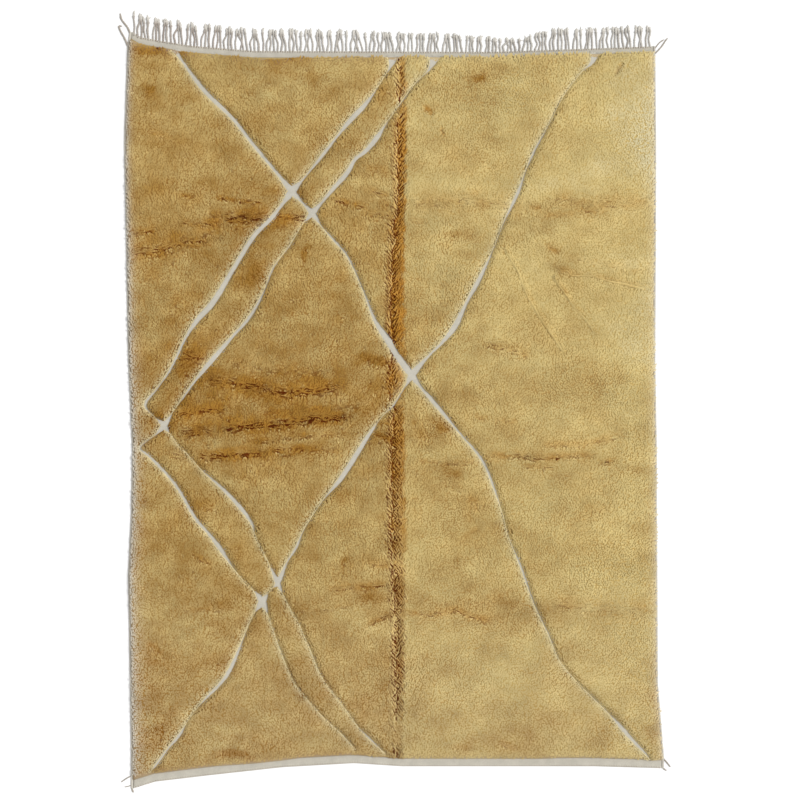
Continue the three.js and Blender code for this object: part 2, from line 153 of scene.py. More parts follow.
# The other creases that storage left: route, half its width, how deep, how far it gapes.
# The ones with a depth below 0 are ridges
creases = [
    ([(-762, 116), (-658, 97), (-525, 80), (-463, 60), (-352, 62), (-212, 83)], 24, 5, 0.9),
    ([(-880, -110), (-800, -103), (-740, -104)], 24, 5, 0.8),
    ([(-700, -90), (-600, -80), (-463, -72), (-400, -62), (-352, -52), (-181, -46)], 20, 6, 1.15),
    ([(-925, -196), (-860, -206)], 18, 3, 0.6),
    ([(-805, -203), (-700, -204), (-612, -197), (-537, -196)], 20, 5, 1.0),
    ([(-500, -176), (-463, -176), (-410, -178), (-359, -176)], 12, 4, 0.9),
    ([(-470, -200), (-400, -200)], 12, 3, 0.5),
    ([(-359, -176), (-213, -181)], 12, 2, 0.4),
    ([(-885, -34), (-806, -18), (-750, -12), (-690, -8)], 18, 4, 0.85),
    ([(-700, -58), (-660, -48)], 8, 2, 0.6),
    ([(-537, -25), (-480, -26), (-420, -20)], 10, 3, 0.5),
    ([(-329, -12), (-285, -8)], 6, 3, 0.9),
    ([(-250, -2), (-144, 4)], 8, 2, 0.4),
    ([(-780, 44), (-745, 42), (-735, 26), (-671, 31)], 7, 3, 0.6),
    ([(-780, -160), (-740, -160)], 6, 3, 0.7),
    ([(-612, -148), (-540, -144), (-480, -142)], 10, 3, 0.6),
    ([(-460, -136), (-400, -130), (-329, -121), (-167, -115)], 10, 3, 0.5),
    ([(-671, 187), (-500, 150), (-242, 142)], 24, 2, 0.3),
    ([(-1087, 641), (-980, 650), (-910, 667), (-850, 688), (-717, 704)], 30, 4, 0.62),
    ([(-860, 668), (-790, 668)], 8, 2, 0.5),
    ([(-1037, 529), (-933, 534)], 14, 2, 0.4),
    ([(-879, 217), (-775, 196)], 22, 4, 0.7),
    ([(-885, 760), (-800, 758), (-700, 756)], 14, 3, 0.6),
    ([(-700, 784), (-640, 788), (-580, 784), (-500, 786)], 28, 6, 0.85),
    ([(-760, 790), (-700, 784)], 20, 3, 0.4),
    ([(-735, 866), (-690, 862), (-640, 856), (-534, 848)], 6, 3, 0.8),
    ([(-880, 880), (-820, 870)], 8, 2, 0.6),
    ([(-487, 792), (-354, 785)], 22, 5, 0.9),
    ([(-500, 754), (-383, 754)], 14, 3, 0.5),
    ([(-1080, 718), (-1030, 728), (-983, 732)], 12, 3, 0.8),
    ([(-242, 858), (-175, 842)], 9, 3, 0.9),
    ([(-158, 837), (-100, 825)], 9, 3, 0.8),
    ([(-92, 896), (-62, 889), (-10, 872)], 9, 3, 0.8),
    ([(-60, 850), (-10, 836)], 12, 3, 0.6),
    ([(-100, 796), (-4, 796)], 12, 3, 0.6),
    ([(-113, 990), (-17, 990)], 12, 2, 0.3),
    ([(-1020, 1150), (-918, 1112)], 12, 2, 0.35),
    ([(-70, -112), (-40, -124), (-5, -142)], 7, 3, 1.0),
    ([(-60, -68), (-10, -68)], 7, 2, 0.7),
    ([(-783, -429), (-733, -420)], 10, 3, 0.6),
    ([(-843, -600), (-746, -661)], 8, 2, 0.5),
    ([(-100, -660), (-10, -662)], 14, 3, 0.6),
    ([(-242, -757), (-129, -750), (-17, -746)], 14, 3, 0.6),
    ([(-873, -854), (-740, -845), (-612, -837)], 8, 2, 0.35),
    ([(-390, -854), (-280, -845), (-167, -820)], 8, 2, 0.4),
    ([(-100, -910), (-60, -890), (-5, -868)], 12, 4, 0.8),
    ([(-1014, -983), (-954, -1029)], 8, 2, 0.5),
    ([(79, 850), (320, 852), (480, 835), (569, 829)], 32, 3, 0.45),
    ([(572, 828), (600, 822), (620, 830)], 9, 3, 0.6),
    ([(600, 794), (700, 792), (760, 800)], 10, 2, 0.4),
    ([(660, 850), (760, 858), (830, 842), (971, 835), (1088, 864)], 32, 3, 0.45),
    ([(788, 817), (847, 806)], 9, 2, 0.5),
    ([(79, 771), (137, 760)], 10, 3, 0.6),
    ([(474, 658), (532, 554), (569, 454), (620, 372), (664, 306), (715, 233)], 9, -5, 0.1),
    ([(679, 533), (715, 483), (752, 425), (803, 372), (833, 329)], 9, -5, 0.15),
    ([(700, 566), (730, 568), (745, 550), (833, 547), (912, 525), (1050, 496)], 10, -4, 0.4),
    ([(745, 621), (869, 592), (1050, 562)], 14, 2, 0.25),
    ([(645, 670), (690, 642)], 9, 3, 0.6),
    ([(386, 258), (474, 242), (575, 212)], 12, 3, 0.6),
    ([(138, 1246), (167, 1215)], 7, 4, 0.9),
    ([(204, 1156), (215, 1125)], 7, 4, 0.8),
    ([(957, 1421), (942, 1398), (931, 1379)], 8, 4, 0.6),
    ([(313, 1092), (446, 923)], 20, 2, 0.15),
    ([(270, 1017), (365, 887)], 18, 2, 0.25),
    ([(400, -208), (503, -202), (598, -214), (640, -216), (700, -206), (833, -206)], 13, 5, 0.95),
    ([(545, -246), (600, -250), (679, -256)], 8, 3, 0.7),
    ([(862, -237), (912, -227)], 8, 3, 0.7),
    ([(100, -223), (230, -238), (357, -228)], 9, 2, 0.5),
    ([(429, -58), (517, -62)], 7, 2, 0.6),
    ([(627, -165), (796, -160), (971, -117)], 12, 2, 0.5),
    ([(233, -329), (306, -365), (371, -431)], 20, 3, 0.3),
    ([(299, -541), (357, -512)], 10, 3, 0.5),
    ([(723, -533), (796, -467), (898, -408)], 26, 2, 0.2),
    ([(50, -858), (158, -867), (270, -846), (342, -878), (429, -900)], 12, 3, 0.6),
    ([(679, -830), (850, -845), (1088, -850)], 30, 3, 0.42),
    ([(246, -1415), (335, -1429)], 12, 3, 0.5),
    ([(445, -1400), (517, -1421)], 12, 3, 0.5),
    ([(342, -37), (388, -58)], 9, 2, 0.5),
]

# Where the pile has turned and shows its deeper amber, partly painted shade of its nap: x, y, half its
# length, half its width, turn, amount
amberPatches = [
    (-520, 60, 640, 330, 0, 0.25), (-550, -110, 430, 110, 0, 0.14), (-700, 700, 420, 150, 0, 0.12),
    (-250, -560, 260, 330, 0, -0.12), (120, 300, 260, 900, 0, 0.10), (120, -600, 260, 700, 0, 0.08),
    (380, -1250, 420, 220, 0, 0.08), (300, 1330, 260, 120, 0, 0.06), (-850, -1350, 260, 200, 0, 0.06),
    (850, 900, 300, 500, 0, -0.06), (-1000, 1450, 120, 160, 0, 0.08), (-1060, 300, 60, 700, 0, 0.10),
    (-988, 1482, 110, 22, 0, 0.8), (-1022, 1328, 40, 70, 0, 0.7), (-1037, 1079, 80, 25, 0, 0.5),
    (-687, 1068, 90, 50, 0.3, 0.2), (-553, 1165, 50, 45, 0, 0.4), (-285, 1108, 60, 40, 0, 0.5),
    (-441, 1425, 95, 40, 0, 0.5), (-382, 1367, 40, 40, 0, 0.35), (-181, 1433, 60, 50, 0, 0.3),
    (-560, 575, 50, 42, 0, 0.8), (-612, 521, 50, 35, 0, 0.5), (-346, 612, 35, 90, 0, 0.5),
    (-421, 442, 60, 40, 0, 0.3), (-56, 184, 70, 30, 0, 0.9), (-837, 142, 55, 50, 0, 0.8),
    (-830, 200, 60, 30, 0, 0.5), (-1021, -400, 40, 28, 0, 0.6), (-1051, -528, 40, 60, 0, 0.3),
    (-187, -632, 45, 28, 0.3, 0.5), (-92, -791, 55, 32, 0, 0.8), (-54, -872, 50, 24, 0.2, 0.7),
    (-717, -798, 90, 50, 0, 0.5), (-702, -908, 60, 60, 0, 0.4), (-951, -1345, 45, 40, 0, 0.6),
    (-650, -1453, 120, 24, 0, 0.6), (-1022, -1504, 70, 30, 0, 0.5), (-390, -1206, 50, 24, -0.8, 0.4),
    (335, 1362, 40, 45, 0.5, 0.7), (430, 1401, 60, 26, 0, 0.5), (640, 1355, 40, 30, 0, 0.3),
    (388, 1250, 60, 40, 0, 0.3), (400, 1130, 45, 50, 0, 0.3), (712, 646, 44, 22, 0, 0.3),
    (715, 567, 40, 20, 0, 0.6), (933, 137, 35, 40, 0, 0.5), (854, 79, 35, 60, 0, 0.35),
    (204, -88, 50, 45, -0.4, 0.7), (100, -102, 60, 30, 0, 0.6), (1044, -274, 50, 26, 0, 0.6),
    (270, -278, 50, 30, 0, 0.5), (283, -650, 40, 24, 0, 0.4), (300, -750, 80, 25, 0, 0.35),
    (503, -823, 95, 60, 0, 0.6), (569, -1357, 50, 60, 0, 0.3), (883, -1362, 35, 50, 0.3, 0.4),
    (1088, -1217, 30, 50, 0, 0.5), (1088, -1360, 30, 60, 0, 0.4),
    # broad streaks, darker, as painted shade
    (710, 1240, 180, 60, 1.3, 0.2), (60, 1230, 200, 50, 1.57, 0.14), (250, 725, 100, 60, 0, 0.45),
    (690, 590, 160, 60, 1.57, 0.18), (500, 250, 155, 60, 0, 0.2), (60, 230, 170, 60, 1.57, 0.18),
    (110, 440, 90, 60, 0, 0.3), (560, 30, 240, 100, 0, 0.16), (110, -160, 110, 50, 0, 0.45),
    (290, -470, 155, 90, 0, 0.25), (430, -600, 155, 60, -0.5, 0.2), (420, -850, 330, 55, 0, 0.25),
    (400, -1420, 300, 50, 0, 0.12), (700, -1350, 155, 60, 0, 0.13), (110, -1050, 300, 60, 1.57, 0.1),
    (-850, 890, 200, 70, 0, 0.25), (-940, 640, 160, 150, 0, 0.18), (-860, 390, 155, 70, 1.0, 0.18),
    (-740, 270, 200, 45, 0.9, 0.14), (-980, -90, 90, 60, 0, 0.4), (-740, -400, 100, 50, 0, 0.3),
    (-930, -1320, 155, 70, 1.1, 0.2), (-680, -1020, 155, 60, 1.2, 0.14), (-500, 860, 80, 50, 0, 0.35),
    (950, 850, 155, 45, 0, 0.3), (130, 150, 110, 45, 0, 0.35), (360, 370, 155, 35, 0, 0.2),
    (250, -820, 155, 35, 0, 0.22), (-220, 765, 80, 50, -0.5, 0.5), (470, -1390, 155, 40, 0, 0.2),
    (700, -1090, 70, 70, 0, 0.3), (720, 480, 45, 70, 0, 0.35), (230, 680, 70, 50, 0.8, 0.35),
    (-180, -40, 180, 30, 0.2, 0.2), (-500, -190, 110, 28, 0, 0.35), (640, -905, 80, 35, 0, 0.3),
    # and paler, as painted light
    (-700, -145, 110, 35, 0, -0.45), (-680, -290, 110, 40, 0, -0.4), (-380, -130, 90, 35, 0, -0.4),
    (-440, 1130, 60, 60, 0, -0.5), (-750, 1060, 70, 50, 0, -0.45), (-990, 1310, 90, 60, 0, -0.2),
    (-50, 430, 70, 80, 0, -0.45), (950, -470, 60, 70, 0, -0.4), (-660, -840, 80, 50, 0, -0.45),
    (390, -755, 155, 35, 0, -0.2), (-100, -870, 140, 60, 0, -0.4), (-150, 880, 70, 60, 0, -0.2),
    (1085, 1080, 190, 70, 1.57, -0.6), (1000, 1180, 170, 320, 0, -0.6), (1040, 350, 155, 420, 0, -0.4),
    (980, -850, 155, 250, 0, -0.2), (740, 930, 160, 70, 0, -0.35), (230, 930, 155, 60, 0, -0.2),
    (440, 930, 155, 60, 0, -0.25), (490, 1330, 155, 70, 1.57, -0.3), (600, 400, 155, 60, 0, -0.25),
    (440, 560, 200, 80, 0, -0.2), (500, -1200, 155, 70, 0, -0.2), (400, -980, 155, 60, 0, -0.14),
    (-480, 200, 155, 80, 0, -0.25), (-90, 230, 155, 60, 1.57, -0.18), (-620, -60, 200, 110, 0, -0.15),
    (-60, -450, 160, 70, 1.57, -0.25), (-120, -900, 180, 70, 0, -0.2), (-620, -1320, 200, 70, 0, -0.22),
    (-370, -1320, 155, 60, 0, -0.16), (-60, -1290, 160, 60, 1.57, -0.2), (-540, 1260, 155, 50, 0, -0.2),
    (-420, 1400, 160, 60, 0, -0.2), (-125, 1400, 155, 60, 0, -0.25), (-380, 690, 155, 50, 0, -0.12),
    (-150, 560, 155, 60, -0.8, -0.14),
]


def readAt(table, at, value=1):
    rows = sorted(table)
    return np.interp(at, [row[0] for row in rows], [row[value] for row in rows])


def onCloth(u, v, side=0.0, bottom=0.0, top=0.0):
    # u runs from the left edge to the right, v from the bottom to the top, inside the margins
    across = (np.asarray(u) - 0.5) * cloth["wide"]
    low = readAt(cloth["bottom"], across) + bottom
    high = readAt(cloth["top"], across) - top
    y = low + (high - low) * v
    left = readAt(cloth["sides"], y, 1) + side
    right = readAt(cloth["sides"], y, 2) - side
    return left + (right - left) * u, y


def softNoise(x, y, size, seed):  # from -1 to 1, smooth over about size
    cells = 257
    grid = np.random.default_rng(seed).uniform(-1, 1, (cells, cells))
    gx, gy = x / size + 1000.5, y / size + 1000.5
    ix, iy = np.floor(gx).astype(int), np.floor(gy).astype(int)
    tx, ty = gx - ix, gy - iy
    tx, ty = tx * tx * (3 - 2 * tx), ty * ty * (3 - 2 * ty)

    def rowOf(j):
        return grid[ix % cells, j % cells] * (1 - tx) + grid[(ix + 1) % cells, j % cells] * tx

    return rowOf(iy) * (1 - ty) + rowOf(iy + 1) * ty


def unit(ways):
    return ways / np.maximum(np.linalg.norm(ways, axis=1), 1e-6)[:, None]


def fadeIn(distance, over):  # 1 at an edge and outside it, less and less further in
    return np.exp(-np.maximum(distance, 0) / over)


def between(a, b, start, end, t):
    return (end - t) / (end - start) * a + (t - start) / (end - start) * b


def smoothPath(points, step):
    # A centripetal curve through the points, sampled about every step
    rows = np.array(points, float)
    rows = np.vstack([2 * rows[0] - rows[1], rows, 2 * rows[-1] - rows[-2]])
    out = []
    for a, b, c, d in zip(rows, rows[1:], rows[2:], rows[3:]):
        gaps = [max(np.linalg.norm((q - p)[:2]), 1e-6) ** 0.5 for p, q in ((a, b), (b, c), (c, d))]
        ta, tb, tc, td = np.cumsum([0.0, *gaps])
        count = max(1, int(round(np.linalg.norm((c - b)[:2]) / step)))
        t = np.linspace(tb, tc, count, endpoint=False)[:, None]
        ab, bc, cd = between(a, b, ta, tb, t), between(b, c, tb, tc, t), between(c, d, tc, td, t)
        out.append(between(between(ab, bc, ta, tc, t), between(bc, cd, tb, td, t), tb, tc, t))
    return np.vstack([*out, rows[-2]])


def buildMesh(name, points, faces, material, values=None, bakeMap=None):
    # faces is a list of index arrays; values are named numbers, one for each point
    mesh = bpy.data.meshes.new(name)
    loops = np.concatenate([f.ravel() for f in faces]).astype(np.int32)
    sizes = np.concatenate([np.full(len(f), f.shape[1]) for f in faces])
    mesh.vertices.add(len(points))
    mesh.vertices.foreach_set("co", (np.asarray(points) * mm).astype(np.float32).ravel())
    mesh.loops.add(len(loops))
    mesh.loops.foreach_set("vertex_index", loops)
    mesh.polygons.add(len(sizes))
    starts = np.concatenate([[0], np.cumsum(sizes)[:-1]]).astype(np.int32)
    mesh.polygons.foreach_set("loop_start", starts)
    mesh.polygons.foreach_set("use_smooth", np.ones(len(sizes), bool))
    for key, numbers in (values or {}).items():
        mesh.attributes.new(key, "FLOAT", "POINT").data.foreach_set("value", numbers.astype(np.float32))
    if bakeMap is not None:
        mesh.uv_layers.new(name="OFBake").data.foreach_set("uv", bakeMap.astype(np.float32).ravel())
    mesh.update(calc_edges=True)
    mesh.materials.append(material)
    piece = bpy.data.objects.new(name, mesh)
    bpy.context.scene.collection.objects.link(piece)
    return piece


def put(tree, kind, wires=None, **settings):
    node = tree.nodes.new("ShaderNode" + kind)
    for key, value in settings.items():
        setattr(node, key, value)
    for key, value in (wires or {}).items():
        if isinstance(value, bpy.types.NodeSocket):
            tree.links.new(value, node.inputs[key])
        else:
            node.inputs[key].default_value = value
    return node


def mixColour(tree, amount, a, b, blend="MIX"):
    node = put(tree, "Mix", {0: amount}, data_type="RGBA", blend_type=blend)
    for socket, value in ((node.inputs[6], a), (node.inputs[7], b)):
        if isinstance(value, bpy.types.NodeSocket):
            tree.links.new(value, socket)
        else:
            socket.default_value = (*value, 1)
    return node.outputs[2]


def mapped(tree, value, low, high, toLow, toHigh):
    limits = {"From Min": low, "From Max": high, "To Min": toLow, "To Max": toHigh}
    return put(tree, "MapRange", {"Value": value, **limits}).outputs["Result"]


def shaded(tree, colour, value, low, high, change):  # darker at low, lighter at high, by the change
    return mixColour(tree, 1, colour, mapped(tree, value, low, high, 1 - change, 1 + change), "MULTIPLY")


def grain(tree, place, scale, detail, rough=0.5):
    settings = {"Vector": place, "Scale": scale, "Detail": detail, "Roughness": rough}
    return put(tree, "TexNoise", settings).outputs["Fac"]


def clothShader(name, rough=0.9, sheen=0.2, sheenTint=(1, 1, 1)):
    made = bpy.data.materials.new(name)
    made.use_nodes = True
    tree = made.node_tree
    shader = tree.nodes["Principled BSDF"]
    for key, value in (("Roughness", rough), ("Specular IOR Level", 0.06), ("Sheen Weight", sheen),
                       ("Sheen Roughness", 0.5), ("Sheen Tint", (*sheenTint, 1))):
        shader.inputs[key].default_value = value
    return made, tree, shader


def addBump(tree, shader, height, strength, distance):
    bump = put(tree, "Bump", {"Strength": strength, "Distance": distance * mm, "Height": height})
    tree.links.new(bump.outputs["Normal"], shader.inputs["Normal"])


def evenYarn(count, tone=0.5, stain=0.0):
    return {"tone": np.full(count, tone), "stain": np.full(count, stain)}


woolNumbers = ("tone", "amber", "rust", "open", "pale", "bare")  # what each tuft brings to its wool


def pileWool(name, colours):
    # Wool that is deep at the root and pale at the cut tip: partly its deeper dyed wool, partly painted shade
    # of the pile's depths
    made, tree, shader = clothShader(name, 0.95, 0.03, colours["sheen"])
    tip, tone, amber, rust, opened, pale, bare = (
        put(tree, "Attribute", attribute_name=key).outputs["Fac"] for key in ("tip", *woolNumbers))
    place = put(tree, "TexCoord").outputs["Object"]
    fibre, cloud = grain(tree, place, 650, 3, 0.7), grain(tree, place, 22, 4, 0.6)
    crown = mixColour(tree, amber, colours["tip"], colours["turned"])
    for amount, key in ((rust, "rust"), (pale, "pale"), (bare, "bare")):
        crown = mixColour(tree, amount, crown, colours[key])
    # Painted shade: the wool darkens lower down, and where the pile opens it turns to the near-black root,
    # even at the tip
    under = mixColour(tree, 1, crown, colours["under"], "MULTIPLY")
    depths = mixColour(tree, opened, under, colours["root"])
    crown = mixColour(tree, mapped(tree, opened, 0.35, 0.9, 0, 0.94), crown, colours["root"])
    body = mixColour(tree, mapped(tree, tip, 0.1, 0.7, 0, 1), depths, crown)
    body = shaded(tree, body, tone, 0, 1, 0.22)
    body = shaded(tree, body, fibre, 0.3, 0.7, 0.1)
    body = shaded(tree, body, cloud, 0.3, 0.7, 0.05)
    tree.links.new(body, shader.inputs["Base Color"])
    addBump(tree, shader, fibre, 0.4, 1.0)
    return made


goldColours = {
    # root: the deep dyed wool, darkened to near black as painted shade of the depths
    "root": (0.095, 0.011, 0.0005),
    "under": (0.86, 0.79, 0.66),  # what the crown's colour is multiplied by lower down, partly as painted shade
    "tip": (0.667, 0.53, 0.232),
    # turned: the deeper amber of turned pile, also laid on as painted shade of the nap and the creases
    "turned": (0.35, 0.186, 0.036),
    # rust: the deeper wool of the turned pile, laid on in the creases partly as painted shade
    "rust": (0.66, 0.315, 0.042),
    # pale: a painted highlight on line shoulders facing the light and in pale nap patches; also the paler
    # wool at the right rim
    "pale": (0.78, 0.69, 0.42),
    # bare: the paler bare side of the pile at its rims, laid on thicker at the left rim as painted light
    "bare": (0.64, 0.585, 0.49),
    "sheen": (1, 0.82, 0.5),
}
ivoryColours = {
    "root": (0.42, 0.36, 0.27),
    "under": (0.88, 0.86, 0.82),
    "tip": (0.55, 0.53, 0.47),
    "turned": (0.50, 0.44, 0.33),
    "rust": (0.48, 0.38, 0.25),
    "pale": (0.70, 0.68, 0.60),
    "bare": (0.62, 0.59, 0.52),
    "sheen": (1, 1, 1),
}
goldWool = pileWool("gold_wool", goldColours)
ivoryWool = pileWool("ivory_wool", ivoryColours)

print("line routes")
lineLay = {
    "step": 3,
    "coverX": ((-350, 150), (1, 0)),  # the gold pile lies over the lines' edges on the left,
    "coverY": ((-500, 0), (8, 2.5)),  # by this much at the bottom and at the top
    "least": 1.5,
    "narrow": (12, 3),  # from this width down to this one, the gold pile shades a line
}


def linePath(rows, step):
    path = smoothPath(rows, step)
    cover = np.interp(path[:, 0], *lineLay["coverX"]) * np.interp(path[:, 1], *lineLay["coverY"])
    path[:, 2] = np.maximum(path[:, 2] - cover, lineLay["least"])
    return path


def linePaths(step):  # each line's path, the way along it and the way to its left
    for rows in ivoryLines.values():
        path = linePath(rows, step)
        way = unit(np.gradient(path[:, :2], axis=0))
        yield path, way, np.stack([-way[:, 1], way[:, 0]], 1)


def treeOf(rows):
    tree = kdtree.KDTree(len(rows))
    for index, row in enumerate(rows):
        tree.insert((row[0], row[1], 0), index)
    tree.balance()
    return tree


def nearestIn(tree, x, y):  # which of the tree's points is nearest, and how far away it is
    found = [tree.find((px, py, 0)) for px, py in zip(x.tolist(), y.tolist())]
    return [hit[1] for hit in found], np.array([hit[2] for hit in found])


lineRows = np.vstack([linePath(rows, lineLay["step"]) for rows in ivoryLines.values()])
lineTree = treeOf(lineRows)


def nearLine(x, y):
    # How far each place is outside the nearest ivory line, the way that leads out of it, and its width
    nearest = lineRows[nearestIn(lineTree, x, y)[0]]
    away = np.stack([x, y], 1) - nearest[:, :2]
    return np.linalg.norm(away, axis=1) - nearest[:, 2] / 2, unit(away), nearest[:, 2]


def narrowAt(x, y):  # 1 where the nearest line is so narrow that the gold pile shades it
    wide, least = lineLay["narrow"]
    return np.clip((wide - nearLine(x, y)[2]) / (wide - least), 0, 1)


def nearRoute(x, y, route):
    # Distance to a route of straight stretches, the way out from it, and how far along it is, 0 to 1
    best = np.full(len(x), 1e9)
    away = np.zeros((len(x), 2))
    share = np.zeros(len(x))
    lengths = [math.dist(a, b) for a, b in zip(route, route[1:])]
    walked = 0.0
    for (ax, ay), (bx, by), length in zip(route, route[1:], lengths):
        dx, dy = (bx - ax) / length, (by - ay) / length
        t = np.clip((x - ax) * dx + (y - ay) * dy, 0, length)
        ox, oy = x - ax - t * dx, y - ay - t * dy
        distance = np.hypot(ox, oy)
        closer = distance < best
        best[closer] = distance[closer]
        away[closer] = np.stack([ox, oy], 1)[closer]
        share[closer] = (walked + t[closer]) / sum(lengths)
        walked += length
    return best, away / np.maximum(best, 1e-6)[:, None], share


def pathAt(route, distance):
    # Place and heading on a route of straight stretches
    for (ax, ay), (bx, by) in zip(route, route[1:]):
        length = math.dist((ax, ay), (bx, by))
        if distance <= length:
            break
        distance -= length
    t = min(distance / length, 1)
    return ax + (bx - ax) * t, ay + (by - ay) * t, math.atan2(by - ay, bx - ax)


def foldAt(y):  # the middle fold's crack and how far it gapes
    rows = [(row[1], row[0], row[2]) for row in middleFold]
    return readAt(rows, y, 1), readAt(rows, y, 2)


def hollow(distance, reach):  # cosine and sine of a soft trough's section, from its floor to its rim
    angle = np.pi * np.clip(distance / reach, 0, 1)
    return np.cos(angle), np.sin(angle)


creaseReach = {"hollow": 1.6, "opening": 1.25, "tint": 1.4, "all": 2.6}  # in half widths


def creaseFields(x, y):
    # What the folds do at each place: how deep, how open, their slope, how far they tint and turn rusty; the
    # tint and rust are partly the deeper wool that shows there and partly painted shade
    deep, gape, tint, slope = np.zeros(len(x)), np.zeros(len(x)), np.zeros(len(x)), np.zeros((len(x), 2))
    for number, (route, half, depth, dark) in enumerate(creases):
        reach = half * creaseReach["all"]
        xs, ys = zip(*route)
        near = (x > min(xs) - reach) & (x < max(xs) + reach) & (y > min(ys) - reach) & (y < max(ys) + reach)
        if not near.any():
            continue
        distance, away, share = nearRoute(x[near], y[near], route)
        broken = 0.8 + 0.4 * softNoise(x[near], y[near], 46, 300 + number)
        fades = np.clip(np.minimum(share, 1 - share) * 7 + 0.25, 0, 1)
        inward, sideways = hollow(distance, half * creaseReach["hollow"])
        deep[near] += depth * ((0.5 + 0.5 * inward) * broken)
        steep = depth * np.pi / (2 * creaseReach["hollow"]) / half * sideways * broken
        slope[near] += away * steep[:, None]
        close = 0.5 + 0.5 * hollow(distance, half * creaseReach["opening"])[0]
        gape[near] = np.maximum(gape[near], dark * close * broken)
        streak = 0.75 + 0.5 * softNoise(x[near] * 0.4, y[near], 20, 400 + number)
        tint[near] += dark * fades * streak * np.exp(-(distance / (half * creaseReach["tint"])) ** 2)
    crack, opened = foldAt(y)
    opened = np.minimum(opened, 1)
    off = x - crack + 5 * softNoise(x, y, 16, 91) + 4 * softNoise(x, y, 7, 92)
    right = readAt(foldFlank["right"], y) - crack
    reach = np.where(off < 0, -foldFlank["left"], right) * 1.15
    inward, sideways = hollow(np.abs(off), reach)
    deep += foldFlank["deep"] * (0.5 + 0.5 * inward) * opened
    slope[:, 0] += np.sign(off) * foldFlank["deep"] * np.pi / 2 / reach * sideways * opened
    flank = np.clip((off - foldFlank["left"]) / 8, 0, 1) * np.clip((right - off) / 7, 0, 1)
    gape = np.maximum(gape, opened * flank * (0.75 + 0.25 * inward))
    feather = right + 3 + 6 * softNoise(x, y, 24, 93) + 3 * softNoise(x, y, 9, 94) - off
    within = np.clip((off + 9) / 9, 0, 1) * np.clip(feather / 14, 0, 1)
    within = np.maximum(within, 0.4 * np.exp(-((off + 8) / 16) ** 2))
    within *= 0.25 + 0.75 * opened
    # The fold's right flank, which faces away from the light, is tinted more: painted shade over the rust of
    # the turned pile
    rust = np.maximum(readAt(foldFlank["rust"], y) * within, tint * np.where(x < 0, 0.3, 0.36))
    return deep, gape, slope, np.minimum(tint + np.where(off < 0, 0.35, 1.0) * within, 1.3), rust


nap = {  # the left half of the pile lies the other way and shows more of its deeper side, partly as painted shade of its nap
    "right": 0.20,
    "left": 0.373,
    "turnsAt": 8,
    "turnsOver": 9,
    "broad": 150,  # patches longer than this are cloudy, and shorter ones streaked
}


def amberAt(x, y):
    # How far the pile has turned to its deeper side, partly painted shade of its nap
    side = np.clip((x - nap["turnsAt"]) / nap["turnsOver"], -30, 30)
    amber = nap["right"] + nap["left"] / (1 + np.exp(side))
    wx = x + 40 * softNoise(x, y, 95, 81) + 16 * softNoise(x, y, 30, 82)
    wy = y + 20 * softNoise(x, y, 80, 83) + 9 * softNoise(x, y, 26, 84)
    streak = 1 + softNoise(x * 0.45, y, 26, 85) * 0.7
    for px, py, along, across, turn, amount in amberPatches:
        dx, dy = wx - px, wy - py
        a = (dx * math.cos(turn) + dy * math.sin(turn)) / along
        b = (dy * math.cos(turn) - dx * math.sin(turn)) / across
        amber += amount * np.exp(-1.2 * (a * a + b * b)) * (1 if along > nap["broad"] else 0.6 * streak)
    amber += 0.14 * softNoise(x * 0.6, y, 80, 86) + 0.10 * softNoise(x * 0.5, y, 34, 87)
    return amber + 0.05 * softNoise(x, y, 17, 88)


strokes = {
    "seed": 31,
    "step": 3.2,
    "thick": 0.58,
    "lane": 7.5,  # between the strokes that lie side by side in a crease
    "run": (20, 74),
    "ridge": {"lit": 0.5, "dark": 0.42, "apart": 5},
    "lit": {"thick": 0.45, "aside": 4.6, "share": 0.7},
    "crack": {"thick": 0.9, "turn": 0.38, "long": (18, 30)},
    "faint": 8500,
}


